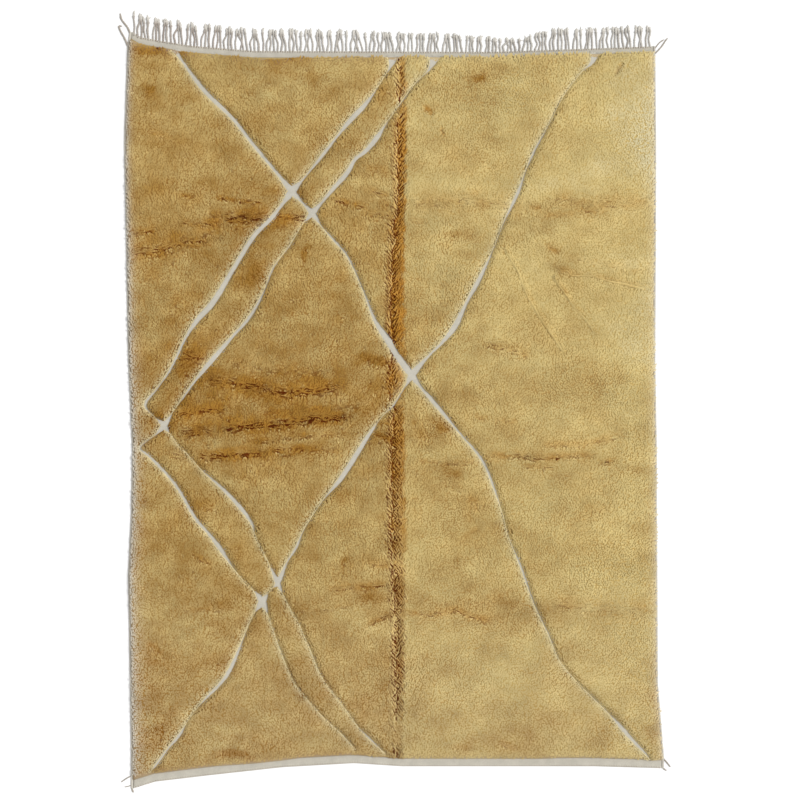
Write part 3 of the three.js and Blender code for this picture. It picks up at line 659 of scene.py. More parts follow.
def makePartings():
    # Thin strokes where the pile parts down to its roots, painted dark as painted shade: x, y, how far it
    # gapes, heading, thickness.
    # The lit ones are strands of wool that stand up beside them, painted lighter as a painted highlight
    rng = np.random.default_rng(strokes["seed"])
    step, ridge, shine, split = strokes["step"], strokes["ridge"], strokes["lit"], strokes["crack"]
    rows, lit = [], []

    def stroke(x, y, heading, length, gape, thick=strokes["thick"], wavy=0.5, aside=0.0):
        count = max(3, int(length / step))
        t = np.linspace(-0.5, 0.5, count)
        bend = rng.normal(0, 0.035) * length
        wave = bend * (4 * t * t - 1) + rng.normal(0, wavy) * np.sin(t * length / 7 + rng.uniform(0, 6))
        px = x + length * t * math.cos(heading) - wave * math.sin(heading)
        py = y + length * t * math.sin(heading) + wave * math.cos(heading)
        ends = np.clip((0.5 - np.abs(t)) * 5 + 0.35, 0, 1)
        turned, wide = np.full(count, heading), np.full(count, thick)
        rows.append(np.stack([px, py, gape * ends, turned, wide], 1))
        if aside:
            lx, ly = px + aside * math.sin(heading), py - aside * math.cos(heading)
            lit.append(np.stack([lx, ly, min(gape, 1) * ends, turned, wide], 1))

    def along(route, steps, drift, gape, thick, into):
        places = np.array([pathAt(route, at) for at in steps])
        px = places[:, 0] - drift * np.sin(places[:, 2])
        py = places[:, 1] + drift * np.cos(places[:, 2])
        turned = np.arctan2(np.gradient(py), np.gradient(px))
        into.append(np.stack([px, py, gape, turned, np.full(len(px), thick)], 1))

    for route, half, depth, dark in creases:
        length = sum(math.dist(a, b) for a, b in zip(route, route[1:]))
        if depth < 0:  # a ridge: one lit line over a dark one, painted highlight over painted shade
            steps = np.arange(0, length, step)
            drift = 1.5 * np.sin(steps / 23 + rng.uniform(0, 6)) + rng.normal(0, 0.4, len(steps))
            fade = np.clip(np.minimum(steps, length - steps) / 40 + 0.2, 0, 1)
            above = fade * (0.6 + 0.4 * np.sin(steps / 29 + rng.uniform(0, 6)))
            below = (0.2 + 0.5 * dark) * fade * rng.uniform(0.5, 1, len(steps))
            along(route, steps, drift, above, ridge["lit"], lit)
            along(route, steps, drift - ridge["apart"], below, ridge["dark"], rows)
            continue
        lanes = max(1, int(round(half / 4)))
        for lane in range(lanes):
            offset = (lane - (lanes - 1) / 2) * strokes["lane"] + rng.normal(0, 1)
            weight = 1.1 - 0.8 * abs(offset) / (half + 1)
            at = rng.uniform(-10, 10)
            while at < length:
                run = rng.uniform(*strokes["run"])
                steps = np.arange(max(at, 0), min(at + run, length), step)
                if len(steps) > 3 and rng.uniform() < 0.32 + 0.6 * dark * weight:
                    drift = offset + rng.normal(0, 1.5)
                    drift = drift + rng.normal(0, 2.0) * np.sin(steps / 6.5 + rng.uniform(0, 6))
                    drift += rng.normal(0, 0.12) * (steps - steps.mean()) + rng.normal(0, 0.9, len(steps))
                    ends = np.clip(np.minimum(steps - steps[0], steps[-1] - steps) / 16 + 0.15, 0, 1)
                    gape = (0.24 + 0.82 * dark * weight * rng.uniform(0.4, 1.0)) * ends
                    gape = gape * rng.uniform(0.65, 1.1, len(steps))
                    along(route, steps, drift, gape, strokes["thick"], rows)
                    if dark * weight > 0.4 and rng.uniform() < shine["share"]:
                        along(route, steps, drift + shine["aside"], 0.5 * ends, shine["thick"], lit)
                at += run + rng.uniform(-6, 10)

    y, aside = foldStrands["from"], foldStrands["litAside"]
    while y < foldStrands["to"]:
        crack, gape = (float(v) for v in foldAt(y))
        if rng.uniform() < gape:
            heading = math.pi / 2 + rng.normal(0, split["turn"])
            stroke(crack + rng.normal(-2, 3.4), y, heading, rng.uniform(*split["long"]),
                   (0.75 + 0.6 * gape) * np.interp(y, (-1000, -500), (0.8, 1)), split["thick"],
                   aside=(-aside - 1.5) * (rng.uniform() < 0.45))
        for offset, weight, low in foldStrands["lanes"]:
            weight *= np.interp(y, (-300, 200), (low, 1))
            if rng.uniform() < gape * (0.55 + 0.5 * weight):
                falls = offset < 0 or rng.uniform() < np.interp(y, (-200, 150), (0.7, 0.1))
                heading = (2.17 if falls else 0.97) + rng.normal(0, 0.16)
                stroke(crack + offset + rng.normal(0, 2), y + 8 + rng.normal(0, 2.5), heading,
                       rng.uniform(18, 34), 0.38 + 0.82 * gape * weight * rng.uniform(0.5, 1.0),
                       foldStrands["wide"] + 0.1 * weight, 0.9, aside)
        y += foldStrands["step"]

    strong = np.vstack(rows)
    rows.clear()
    count = strokes["faint"]  # these lie all over
    x, y = rng.uniform(-1100, 1110, count), rng.uniform(-1560, 1540, count)
    weight = amberAt(x, y)
    for at in np.flatnonzero(rng.uniform(size=count) < 0.25 + 0.9 * weight):
        heading = rng.choice([rng.normal(1.57, 0.6), rng.normal(0, 0.5)])
        stroke(x[at], y[at], heading, rng.uniform(7, 18), rng.uniform(0.06, 0.5) * (0.25 + weight[at]))
    return strong, np.vstack(rows), np.vstack(lit)


print("partings")
strongRows, faintRows, litRows = makePartings()
partings = [(strongRows, treeOf(strongRows)), (faintRows, treeOf(faintRows))]
litTree = treeOf(litRows)


def partedAt(x, y):
    # How parted the pile is, how much it stands beside a parting, and the way out of the parting
    parted, beside, out = np.zeros(len(x)), np.zeros(len(x)), np.zeros((len(x), 2))
    for rows, tree in partings:
        nearest = rows[nearestIn(tree, x, y)[0]]
        away = np.stack([x, y], 1) - nearest[:, :2]
        gap = np.linalg.norm(away, axis=1) * strokes["thick"] / nearest[:, 4]
        here = np.minimum(nearest[:, 2], 1) * np.clip((3.4 - gap) / 1.4, 0, 1)
        near = np.minimum(nearest[:, 2], 1) * np.exp(-((gap - 5.4) / 1.9) ** 2)
        stronger = here + near > parted + beside
        out[stronger] = unit(away)[stronger]
        parted, beside = np.maximum(parted, here), np.maximum(beside, near)
    return parted, np.where(parted > 0.3, 0, beside), out


waves = [(460, 0.4, 1.1, 0.3), (310, 1.9, 0.9, 2.1), (190, 2.7, 0.7, 4.4)]  # length, heading, rise, phase
lumps = [(85, 0.9, 71), (38, 0.5, 72)]  # size, rise, seed
pile = {
    "seed": 11,
    "high": 24,
    "bed": 4.8,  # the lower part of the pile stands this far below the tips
    "lineHigh": 14.0,
    "lineBed": 10.5,
    "pitch": (7.25, 5.6, 4.9),  # in the open, beside the ivory lines, in the creases
    "thin": (1.0, 0.8, 0.58),
    "edgePitch": 4.6,  # of the tufts that stand along the ivory lines
    "edgeThin": 0.78,
    "jitter": 0.36,
    "foot": (9.0, 12.0),
    "tip": (6.5, 9.5),
    "nap": (0.5, 7.0),
    "longestLean": 17,
    "rimPush": (5.0, 9.0, 3.0, 0.0),  # how far the tips lean out at the left, right, bottom and top
    "rimSlope": np.array([0.3, 0.7, 0.7, 0.7]),
    "clump": 25,
    "sunk": 2.0,
    "soft": 0.78,  # how far the shading follows the pile's own surface and not each tuft
    "strips": 5,
}


def pileTop(x, y):
    # Height of the pile's surface and its slope, before any crease
    z = np.full(len(x), float(pile["high"]))
    slope = np.zeros((len(x), 2))
    for length, heading, rise, phase in waves:
        ux, uy = math.cos(heading), math.sin(heading)
        angle = 2 * math.pi * (x * ux + y * uy) / length + phase
        z += rise * np.sin(angle)
        slope += (rise * 2 * math.pi / length * np.cos(angle))[:, None] * np.array([ux, uy])
    for size, rise, seed in lumps:
        here = softNoise(x, y, size, seed)
        z += rise * here
        slope[:, 0] += rise * (softNoise(x + 2, y, size, seed) - here) / 2
        slope[:, 1] += rise * (softNoise(x, y + 2, size, seed) - here) / 2
    return z, slope


def shownBands(x):  # how much of the bottom and the top band the pile leaves bare
    low, high = cloth["shownLimits"]
    return np.minimum(readAt(cloth["bottomShows"], x), low), np.maximum(readAt(cloth["topShows"], x), high)


def rimDistances(x, y):
    # How far inside the pile's own edge each place is: left, right, bottom, top
    side = cloth["cordWide"] + cloth["gap"]
    bottom, top = shownBands(x)
    return np.stack([x - readAt(cloth["sides"], y, 1) - side, readAt(cloth["sides"], y, 2) - side - x,
                     y - readAt(cloth["bottom"], x) - bottom, readAt(cloth["top"], x) - top - y])


outward = np.array([(-1, 0), (1, 0), (0, -1), (0, 1)], float)


def bedTop(x, y, rim, line, deep):
    z = pileTop(x, y)[0] - pile["bed"] - 1.3 * deep
    z -= 6 * fadeIn(rim, 9)
    inLine = np.clip((line + 1.5) / 6, 0, 1)
    return pile["lineBed"] + (np.maximum(z, 6) - pile["lineBed"]) * inLine


def clumpOf(x, y, lean, pitch, seed):
    # The nearest of a field of scattered clumps, each drawn out along the lean
    cells = 301
    shift = np.random.default_rng(seed).uniform(0.1, 0.9, (2, cells, cells))
    level = np.random.default_rng(seed + 1).uniform(0, 1, (cells, cells))
    ix, iy = np.floor(x / pitch).astype(int), np.floor(y / pitch).astype(int)
    way = unit(lean)
    best, tone, centre = np.full(len(x), 1e9), np.zeros(len(x)), np.zeros((len(x), 2))
    for i in range(-2, 3):
        for j in range(-2, 3):
            a, b = (ix + i) % cells, (iy + j) % cells
            cx, cy = (ix + i + shift[0, a, b]) * pitch, (iy + j + shift[1, a, b]) * pitch
            dx, dy = x - cx, y - cy
            alongIt = dx * way[:, 0] + dy * way[:, 1]
            acrossIt = dy * way[:, 0] - dx * way[:, 1]
            distance = (0.6 * alongIt) ** 2 + (1.35 * acrossIt) ** 2
            closer = distance < best
            best[closer] = distance[closer]
            centre[closer] = np.stack([cx, cy], 1)[closer]
            tone[closer] = level[a, b][closer]
    return centre, np.sqrt(best), tone


def tuftPiece(name, tufts, material):
    # Joined wedges of wool, each with a foot like a line and a chisel tip across it
    foot, tip, turn = tufts["foot"], tufts["tip"], tufts["turn"]
    count = len(foot)
    points = np.zeros((count, 4, 3))
    across = turn + math.pi / 2
    corners = ((foot, across, 1, "footWide"), (foot, across, -1, "footWide"),
               (tip, turn, 1, "tipWide"), (tip, turn, -1, "tipWide"))
    for corner, (middle, angle, side, wide) in enumerate(corners):
        points[:, corner] = middle
        points[:, corner, 0] += side * tufts[wide] / 2 * np.cos(angle)
        points[:, corner, 1] += side * tufts[wide] / 2 * np.sin(angle)
    template = np.array([(2, 0, 3), (2, 3, 1), (0, 2, 1), (0, 1, 3)])
    faces = (np.arange(count)[:, None, None] * 4 + template).reshape(-1, 3)
    cells = math.ceil(math.sqrt(count))  # each tuft's four faces have a square of the map to themselves
    low, inner, outer, high = 0.04, 0.62, 0.68, 0.96
    spots = np.array([[(low, low), (low, high), (inner, high)], [(low, low), (inner, high), (inner, low)],
                      [(outer, low), (outer, high), (high, high)], [(outer, low), (high, high), (high, low)]])
    cell = np.stack([np.arange(count) % cells, np.arange(count) // cells], 1)
    bakeMap = (cell[:, None, None] + spots) / cells
    values = {key: np.repeat(tufts[key], 4) for key in woolNumbers}
    values["tip"] = np.tile([0, 0, 1, 1], count) * 1.0
    piece = buildMesh(name, points.reshape(-1, 3), [faces], material, values, bakeMap)
    softenNormals(piece, np.repeat(tufts["slope"], 4, axis=0), np.repeat(tufts["soft"], 4))
    return piece


def softenNormals(piece, slope, soft):
    # Turns the shading towards the pile's own surface, as light scatters in deep wool
    mesh = piece.data
    own = np.empty(len(mesh.vertices) * 3, np.float32)
    mesh.vertex_normals.foreach_get("vector", own)
    surface = unit(np.column_stack([-slope, np.ones(len(slope))]))
    mixed = unit(own.reshape(-1, 3) * (1 - soft)[:, None] + surface * soft[:, None])
    mesh.attributes.new("custom_normal", "FLOAT_VECTOR", "POINT").data.foreach_set(
        "vector", mixed.astype(np.float32).ravel())


def scattered(pitch, rng):
    columns, rows = int(2300 / pitch), int(3250 / pitch)
    i, j = np.meshgrid(np.arange(columns), np.arange(rows))
    x = (i + 0.5 * (j % 2)).ravel() * pitch - 1150
    y = j.ravel() * pitch - 1620
    x = x + rng.uniform(-1, 1, len(x)) * pitch * pile["jitter"]
    y = y + rng.uniform(-1, 1, len(y)) * pitch * pile["jitter"]
    keep = rimDistances(x, y).min(0) > 1.0
    return x[keep], y[keep]


def lineEdges(spacing, rng):
    # Places along both edges of every ivory line, outside the other lines
    places = []
    for path, way, side in linePaths(spacing):
        for sign in (1, -1):
            out = path[:, 2:] / 2 + rng.uniform(-0.6, 1.0, (len(path), 1))
            places.append(path[:, :2] + sign * side * out + way * rng.uniform(-1, 1, (len(path), 1)))
    x, y = np.vstack(places).T
    keep = (rimDistances(x, y).min(0) > 1) & (nearLine(x, y)[0] > -0.9)
    return x[keep], y[keep]


def gradeAt(x, y):  # which of the three pitches the tufts have
    creased = creaseFields(x, y)[1]
    return np.where(creased > 0.3, 2, np.where((creased > 0.15) | (nearLine(x, y)[0] < 13), 1, 0))


def makeGold():
    rng = np.random.default_rng(pile["seed"])
    fields = []
    for grade, pitch in enumerate(pile["pitch"]):
        x, y = scattered(pitch, rng)
        keep = (gradeAt(x, y) == grade) & (nearLine(x, y)[0] > 2.8)
        fields.append(np.stack([x[keep], y[keep], np.full(keep.sum(), pile["thin"][grade])]))
    ex, ey = lineEdges(pile["edgePitch"], rng)
    fields.append(np.stack([ex, ey, np.full(len(ex), pile["edgeThin"])]))
    for rows in (strongRows, litRows):
        rows = rows[(rimDistances(*rows[:, :2].T).min(0) > 3) & (nearLine(*rows[:, :2].T)[0] > 4)]
        fields.append(rows[:, [0, 1, 4, 2, 3]].T)
    placedGape, placedTurn = np.concatenate(fields[-2:], axis=1)[3:]
    x, y, thin = np.concatenate([field[:3] for field in fields], axis=1)
    kind = np.repeat([0, 0, 0, 1, 2, 3], [len(field[0]) for field in fields])
    edge, placed = kind == 1, kind >= 2
    highlightShare = np.where(kind == 3, 0.15, 0.6)  # how much of its amber and rust the wool beside a parting loses, a painted highlight
    count = len(x)

    line, fromLine = nearLine(x, y)[:2]
    rims = rimDistances(x, y)
    rim, nearestRim = rims.min(0), rims.argmin(0)
    deep, creased, slope, tint, rust = creaseFields(x, y)
    broad = amberAt(x, y)
    ruffled = np.clip(0.15 + 0.8 * broad + 0.7 * creased, 0, 1.3)

    leanX = pile["nap"][0] + 3.5 * softNoise(x, y, 150, 1) + 3.0 * ruffled * softNoise(x, y, 48, 2)
    leanY = pile["nap"][1] + 2.5 * softNoise(x, y, 150, 3) + 3.0 * ruffled * softNoise(x, y, 48, 4)
    lean = np.stack([leanX, leanY], 1)
    lean *= (0.2 + 0.8 * np.clip(line / 16, 0, 1))[:, None]
    for way, push, inside in zip(outward, pile["rimPush"], rims):
        lean += way * (push * fadeIn(inside, 14) * rng.uniform(0.85, 1.15, count))[:, None]
    overTop = np.clip((27 - readAt(cloth["topShows"], x)) / 19, -0.4, 1) * fadeIn(rims[3], 16)
    lean[:, 1] += 13 * overTop * rng.uniform(0.55, 1.1, count)

    centre, spread, clumpTone = clumpOf(x, y, lean, pile["clump"], 21)
    way = unit(lean)
    toCentre = centre - np.stack([x, y], 1)
    alongIt = (toCentre * way).sum(1)[:, None] * way
    tight = (0.28 * ruffled)[:, None]
    tight[placed] = 0
    lean += tight * (toCentre - alongIt) + 0.10 * alongIt
    lean += rng.normal(0, 1, (count, 2)) * ((0.8 + 0.8 * ruffled) * (~placed))[:, None]
    reach = np.linalg.norm(lean, axis=1)
    lean *= np.minimum(1, pile["longestLean"] / np.maximum(reach, 1e-6))[:, None]
    lean[edge] *= 0.5
    into = np.maximum(0, -(lean * fromLine).sum(1) - np.maximum(line, 0))  # keeps the lines clear
    lean += fromLine * into[:, None]
    x, y = x - lean[:, 0] * placed, y - lean[:, 1] * placed  # their tips are where the strokes are

    tips = np.stack([x, y], 1) + lean
    parted, beside, aside = partedAt(*tips.T)
    aside[placed] = 0
    parted[placed] = placedGape * (kind[placed] == 2)
    beside[placed] = placedGape * (kind[placed] == 3)
    inLit = nearestIn(litTree, *tips.T)[1] < 2.1
    lean += aside * (1.2 * beside)[:, None]

    top, topSlope = pileTop(x, y)
    shoulder, roll = fadeIn(line - 2, 7), fadeIn(rim, 8)
    high = top - deep + 0.7 - (0.08 * ruffled) * spread + rng.uniform(-1, 1, count) * (0.12 + 0.7 * ruffled)
    high += 0.2 * beside + 0.5 * np.minimum(parted, 0.8) - 2.6 * shoulder - 5.0 * roll
    bed = bedTop(x, y, rim, line, deep)
    slope = topSlope + slope + fromLine * (0.42 * shoulder)[:, None]
    slope += aside * (0.5 * beside)[:, None]
    slope -= outward[nearestRim] * (pile["rimSlope"][nearestRim] * roll)[:, None]
    turn = rng.uniform(0, math.pi, count)
    beyond = np.arctan2(aside[:, 0], -aside[:, 1]) + rng.normal(0, 0.25, count)
    turn = np.where(parted + beside > 0.2, beyond, turn)
    turn = np.where(line < 9, np.arctan2(fromLine[:, 0], -fromLine[:, 1]), turn)
    turn[placed] = placedTurn

    # Painted highlight: the pile's shoulders beside a line that face the light are painted pale, over a
    # little real paleness of the carved edges
    glow = np.clip(0.25 - fromLine[:, 0] * 0.95 + fromLine[:, 1] * 0.1, 0, 1)
    # The rims are paler where the pile's bare side shows; the left rim more so, painted lighter as painted
    # light against the shade it stands in
    bare = 1.15 * fadeIn(rims[0], np.interp(y, (-1200, 100, 1000), (22, 18, 10)))
    bare += 0.45 * fadeIn(rims[1], 12) + 0.08 * np.interp(y, (-1300, -600), (1, 0))
    # How open the pile is here; the wool is painted darker there as painted shade of its depths
    opened = np.clip(0.28 * np.maximum(broad, 0) + 0.15 * creased + 0.95 * parted, 0, 1)
    smooth = pile["soft"] + 0.12 * np.clip(1 - 1.6 * ruffled, 0, 1)
    tufts = {
        "foot": np.stack([x, y, bed - pile["sunk"]], 1),
        "tip": np.stack([x + lean[:, 0], y + lean[:, 1], np.maximum(high, bed + 2.5)], 1),
        "footWide": rng.uniform(*pile["foot"], count) * thin,
        "tipWide": rng.uniform(*pile["tip"], count) * thin,
        "turn": turn,
        # tone: random by clump and tuft, lighter beside a parting as a painted highlight, and cloudy as
        # painted shade of the nap
        "tone": np.clip(0.5 + (0.06 + 0.16 * ruffled) * (clumpTone - 0.5)
                        + rng.normal(0, 1, count) * (0.01 + 0.06 * ruffled + 0.14 * creased) + 0.3 * beside
                        + 0.16 * softNoise(x * 0.6, y, 90, 6) + 0.12 * softNoise(x * 0.7, y, 34, 7), 0, 1),
        "amber": np.clip(broad + 0.42 * tint - highlightShare * beside + 0.12 * softNoise(x, y, 60, 5)
                         + 0.14 * softNoise(x, y, 27, 8) * ruffled, 0, 1.1),
        "rust": np.clip(rust * (1 - highlightShare * beside) * rng.uniform(0.75, 1.1, count), 0, 1),
        "open": opened * (1 - 0.8 * np.minimum(bare, 1)),
        "pale": np.clip(glow * 0.75 * fadeIn(line - 2, 12) + 0.3 * fadeIn(rims[1], 14)
                        - 1.1 * np.minimum(broad, 0), 0, 0.85),
        "bare": bare,
        "slope": slope,
        "soft": smooth * (1 - 0.35 * np.clip(creased + parted, 0, 1)),
    }
    # A tuft whose tip would lie in a strong parting is left out
    clear = np.flatnonzero(placed | edge | ((parted < 0.45) & ~inLit) | (creased < 0.05))
    order = clear[np.argsort(y[clear], kind="stable")]
    pieces = []
    for number, part in enumerate(np.array_split(order, pile["strips"])):
        part = np.sort(part)
        pieces.append(tuftPiece(f"gold_pile_{number + 1}", {k: v[part] for k, v in tufts.items()}, goldWool))
    print("gold tufts", len(clear))
    return pieces


ivory = {
    "seed": 12,
    "spacing": 6.4,
    "past": 2.5,  # how far the tufts reach past the line's own edge
    "rows": 6,
    "foot": (8.5, 11),
    "tip": (5, 7.5),
    "nap": (0.6, 2.2),
    "bedPast": 4.5,
    "bedHigh": 12.7,
    "bedLow": 4.0,
    "bedStep": 6,
    "bedSection": ((-1, 0), (-1, 1.4), (-0.5, 0), (0.5, 0), (1, 1.4), (1, 0)),  # across, how far down
}


def makeIvory():
    # Shorter ivory tufts, set in rows along each line
    rng = np.random.default_rng(ivory["seed"])
    spacing = ivory["spacing"]
    places = []
    for path, _, side in linePaths(spacing):
        for row in range(-ivory["rows"], ivory["rows"] + 1):
            at = path[:, :2] + side * row * spacing
            inside = abs(row) * spacing < path[:, 2] / 2 + ivory["past"]
            if abs(row) > 1:
                gap = np.linalg.norm(path[None, :, :2] - at[:, None], axis=2).min(1)
                inside &= gap > abs(row) * spacing * 0.8
            places.append(at[inside])
    at = np.vstack(places)
    at = at + rng.uniform(-1.3, 1.3, at.shape)
    rim = rimDistances(*at.T).min(0)
    x, y = at[rim > -6].T
    rim = rim[rim > -6]
    count = len(x)
    creased, narrow = creaseFields(x, y)[1], narrowAt(x, y)
    bed = np.where(rim < 4, ivory["bedLow"], pile["lineBed"] - 1.5)
    high = pile["lineHigh"] + rng.uniform(-0.5, 0.5, count) - 5 * fadeIn(rim, 14)
    lean = np.zeros((count, 2)) + ivory["nap"] + rng.normal(0, 1.1, (count, 2))
    tufts = {
        "foot": np.stack([x, y, bed - pile["sunk"]], 1),
        "tip": np.stack([x + lean[:, 0], y + lean[:, 1], high], 1),
        "footWide": rng.uniform(*ivory["foot"], count),
        "tipWide": rng.uniform(*ivory["tip"], count),
        "turn": rng.uniform(0, math.pi, count),
        "tone": np.clip(0.5 - 0.2 * narrow + rng.normal(0, 0.06, count), 0, 1),
        "amber": np.clip(0.1 + 0.2 * creased + 0.8 * narrow, 0, 1),
        "rust": 0.6 * narrow,
        "open": 0.05 + 0.25 * narrow,
        "pale": np.zeros(count),
        "bare": np.zeros(count),
        "slope": np.zeros((count, 2)),
        "soft": np.full(count, 0.85),
    }
    print("ivory tufts", count)
    return tuftPiece("ivory_pile", tufts, ivoryWool)


def ringFaces(rings, sides):
    # Four-sided faces between rings of points, and the two end faces
    index = np.arange(rings * sides).reshape(rings, sides)
    after = np.roll(index, -1, axis=1)
    quads = np.stack([index[:-1], index[1:], after[1:], after[:-1]], -1).reshape(-1, 4)
    return quads, np.stack([index[0], index[-1][::-1]])


def makeIvoryBed():
    # The ivory wool between the tufts, one ribbon along each line
    points, faces, start = [], [], 0
    across, drop = np.array(ivory["bedSection"], float).T
    for rows in ivoryLines.values():
        path = linePath(rows, ivory["bedStep"])
        rim = rimDistances(path[:, 0], path[:, 1]).min(0)
        path, rim = path[rim > -4], rim[rim > -4]
        way = unit(np.gradient(path[:, :2], axis=0))
        side = np.stack([-way[:, 1], way[:, 0]], 1)
        half = path[:, 2] / 2 + ivory["bedPast"]
        ring = path[:, None, :2] + side[:, None] * (across * half[:, None])[..., None]
        lumpy = softNoise(ring[..., 0], ring[..., 1], 13, 62)
        z = ivory["bedHigh"] - drop + 0.5 * lumpy - 5.5 * fadeIn(rim, 14)[:, None]
        z[:, [0, -1]] = ivory["bedLow"]
        points.append(np.concatenate([ring, z[..., None]], -1).reshape(-1, 3))
        faces += [part + start for part in ringFaces(len(path), len(across))]
        start += z.size
    points = np.concatenate(points)
    zero, narrow = np.zeros(len(points)), narrowAt(points[:, 0], points[:, 1])
    values = {"tone": 0.5 - 0.2 * narrow + 0.06 * softNoise(points[:, 0], points[:, 1], 8, 63),
              "tip": zero + 0.45, "amber": 0.12 + 0.8 * narrow, "rust": 0.6 * narrow, "open": 0.25 * narrow,
              "pale": zero, "bare": zero}
    return buildMesh("ivory_bed", points, faces, ivoryWool, values)


def gridFaces(rows, columns):
    index = np.arange(rows * columns).reshape(rows, columns)
    return np.stack([index[:-1, :-1], index[:-1, 1:], index[1:, 1:], index[1:, :-1]], -1).reshape(-1, 4)


def closedGrid(name, x, y, low, high, material, values, plainBase=False):
    # A closed sheet with a lumpy top; its base is a grid too, or one face where nothing shows it
    rows, columns = x.shape
    count = rows * columns
    index = np.arange(count).reshape(rows, columns)
    ring = np.concatenate([index[0, :-1], index[:-1, -1], index[-1, :0:-1], index[:0:-1, 0]])
    base = ring if plainBase else np.arange(count)
    place = np.stack([x.ravel(), y.ravel()], 1)
    points = np.concatenate([np.column_stack([place, high.ravel()]),
                             np.column_stack([place[base], np.full(len(base), low)])])
    under = np.arange(len(ring)) + count if plainBase else ring + count
    walls = np.stack([under, np.roll(under, -1), np.roll(ring, -1), ring], 1)
    top = gridFaces(rows, columns)
    bottom = under[::-1][None] if plainBase else top[:, ::-1] + count
    values = {key: np.concatenate([value, value[base]]) for key, value in values.items()}
    return buildMesh(name, points, [top, bottom, walls], material, values)


bedGrid = {"columns": 168, "rows": 232, "low": 3.4, "fromLine": 11}


def makeBed():
    u, v = np.meshgrid(np.linspace(0, 1, bedGrid["columns"]), np.linspace(0, 1, bedGrid["rows"]))
    grid = onCloth(u, v, cloth["cordWide"] + cloth["gap"], *shownBands((u - 0.5) * cloth["wide"]))
    x, y = (part.ravel() for part in grid)
    rim, line = rimDistances(x, y).min(0), nearLine(x, y)[0]
    deep, creased, _, tint, rust = creaseFields(x, y)
    z = bedTop(x, y, rim, line - bedGrid["fromLine"], deep)
    broad = amberAt(x, y)
    zero = np.zeros(x.size)
    # The bed has the colour of the roots, darker where the pile opens: painted shade of the depths over the
    # deeper wool there
    values = {"tone": zero + 0.5, "amber": np.clip(broad + 0.25 * tint, 0, 1), "rust": rust, "tip": zero,
              "open": np.clip(0.08 + 0.25 * broad + 0.4 * creased, 0, 1), "pale": zero,
              "bare": 0.75 * fadeIn(rim, 11)}
    return closedGrid("pile_bed", *grid, bedGrid["low"], z, goldWool, values, plainBase=True)


warpColours = {
    "yarn": (0.56, 0.53, 0.455),
    "shade": (0.34, 0.31, 0.255),
    "brown": (0.16, 0.075, 0.035),
}


def warpWool(name, scale=420, **colours):
    # Undyed spun wool; stain is 0 for ivory and 1 for the brown yarn, tone is each yarn's own
    colours = {**warpColours, **colours}
    made, tree, shader = clothShader(name, 0.92, 0.2)
    tone, stain = (put(tree, "Attribute", attribute_name=key).outputs["Fac"] for key in ("tone", "stain"))
    place = put(tree, "TexCoord").outputs["Object"]
    fibre, cloud = grain(tree, place, scale, 4, 0.65), grain(tree, place, 30, 3)
    body = mixColour(tree, mapped(tree, fibre, 0.35, 0.65, 0.0, 0.55), colours["yarn"], colours["shade"])
    body = mixColour(tree, stain, body, colours["brown"])
    body = shaded(tree, body, tone, 0, 1, 0.25)
    body = shaded(tree, body, cloud, 0.3, 0.7, 0.07)
    tree.links.new(body, shader.inputs["Base Color"])
    addBump(tree, shader, fibre, 0.6, 0.8)
    return made


bandWool = warpWool("band_wool")
fringeWool = warpWool("fringe_wool", yarn=(0.63, 0.605, 0.55), shade=(0.33, 0.31, 0.28))
cordWool = warpWool("cord_wool", yarn=(0.50, 0.47, 0.41))
backWool = warpWool("back_wool", 260, yarn=(0.50, 0.37, 0.16), shade=(0.38, 0.26, 0.09))


def tubes(paths, sides):
    # Closed tubes: each path is centre points, half widths, half heights, turn of the section, its lobes
    points, quads, ends, start = [], [], [], 0
    angle = np.arange(sides) * 2 * math.pi / sides
    for centre, wide, high, turn, lobe in paths:
        way = unit(np.gradient(centre[:, :2], axis=0))
        swell = 1 - lobe + lobe * np.abs(np.cos(angle[None] - turn[:, None]))
        across = np.cos(angle)[None] * swell * wide[:, None]
        up = np.sin(angle)[None] * swell * high[:, None]
        ring = np.stack([centre[:, None, 0] - way[:, 1:] * across, centre[:, None, 1] + way[:, :1] * across,
                         centre[:, None, 2] + up], -1)
        points.append(ring.reshape(-1, 3))
        faces, caps = ringFaces(len(centre), sides)
        quads.append(np.roll(faces, -1, axis=1) + start)  # each face starts at its ring further on
        ends.append(caps + start)
        start += len(points[-1])
    return np.concatenate(points), [np.concatenate(quads), np.concatenate(ends)]


fringe = {
    "seed": 41,
    "pitch": 16,
    "inset": 12,
    "wide": 8.2,
    "lengths": [  # x, how long
        (-1100, 106), (-600, 99), (-250, 97), (0, 86), (240, 84), (420, 66), (510, 54), (590, 74),
        (660, 96), (1100, 95),
    ],
    "knot": (0.70, 0.80),  # where it sits, as a share of the strand
    "steps": 23,
    "sides": 6,
    "frays": 3,
    "frayLong": (10, 17),
    "fraySides": 4,
    "frayThins": np.array([0.7, 1, 0.9, 0.6, 0.25]),
    "ply": 11,  # the yarn turns once in this length
}
endBands = {
    "top": {"wide": 27, "thick": 3, "ridge": 5.5, "ridgeWide": 8, "at": 1.0},
    "bottom": {"wide": 34, "thick": 3, "ridge": 5, "ridgeWide": 9, "at": 0.0},
}
looseCords = {  # width and route of the warps' loose ends at the corners
    "left": [
        (8, [(-1098, 1500), (-1115, 1538), (-1133, 1571), (-1137, 1587), (-1124, 1586)]),
        (8, [(-1089, 1554), (-1102, 1582), (-1126, 1614), (-1133, 1641)]),
        (5, [(-1083, -1535), (-1104, -1546), (-1129, -1563)]),
        (4, [(-1083, -1574), (-1098, -1580), (-1115, -1583)]),
        (7, [(-1083, -1580), (-1082, -1592), (-1077, -1606)]),
    ],
    "right": [
        (6, [(1094, 1470), (1122, 1500), (1141, 1528), (1149, 1538)]),
        (5, [(1092, 1490), (1116, 1519), (1134, 1531)]),
        (6, [(1128, -1462), (1143, -1478), (1160, -1500)]),
        (6, [(1128, -1498), (1134, -1508), (1144, -1514)]),
    ],
}


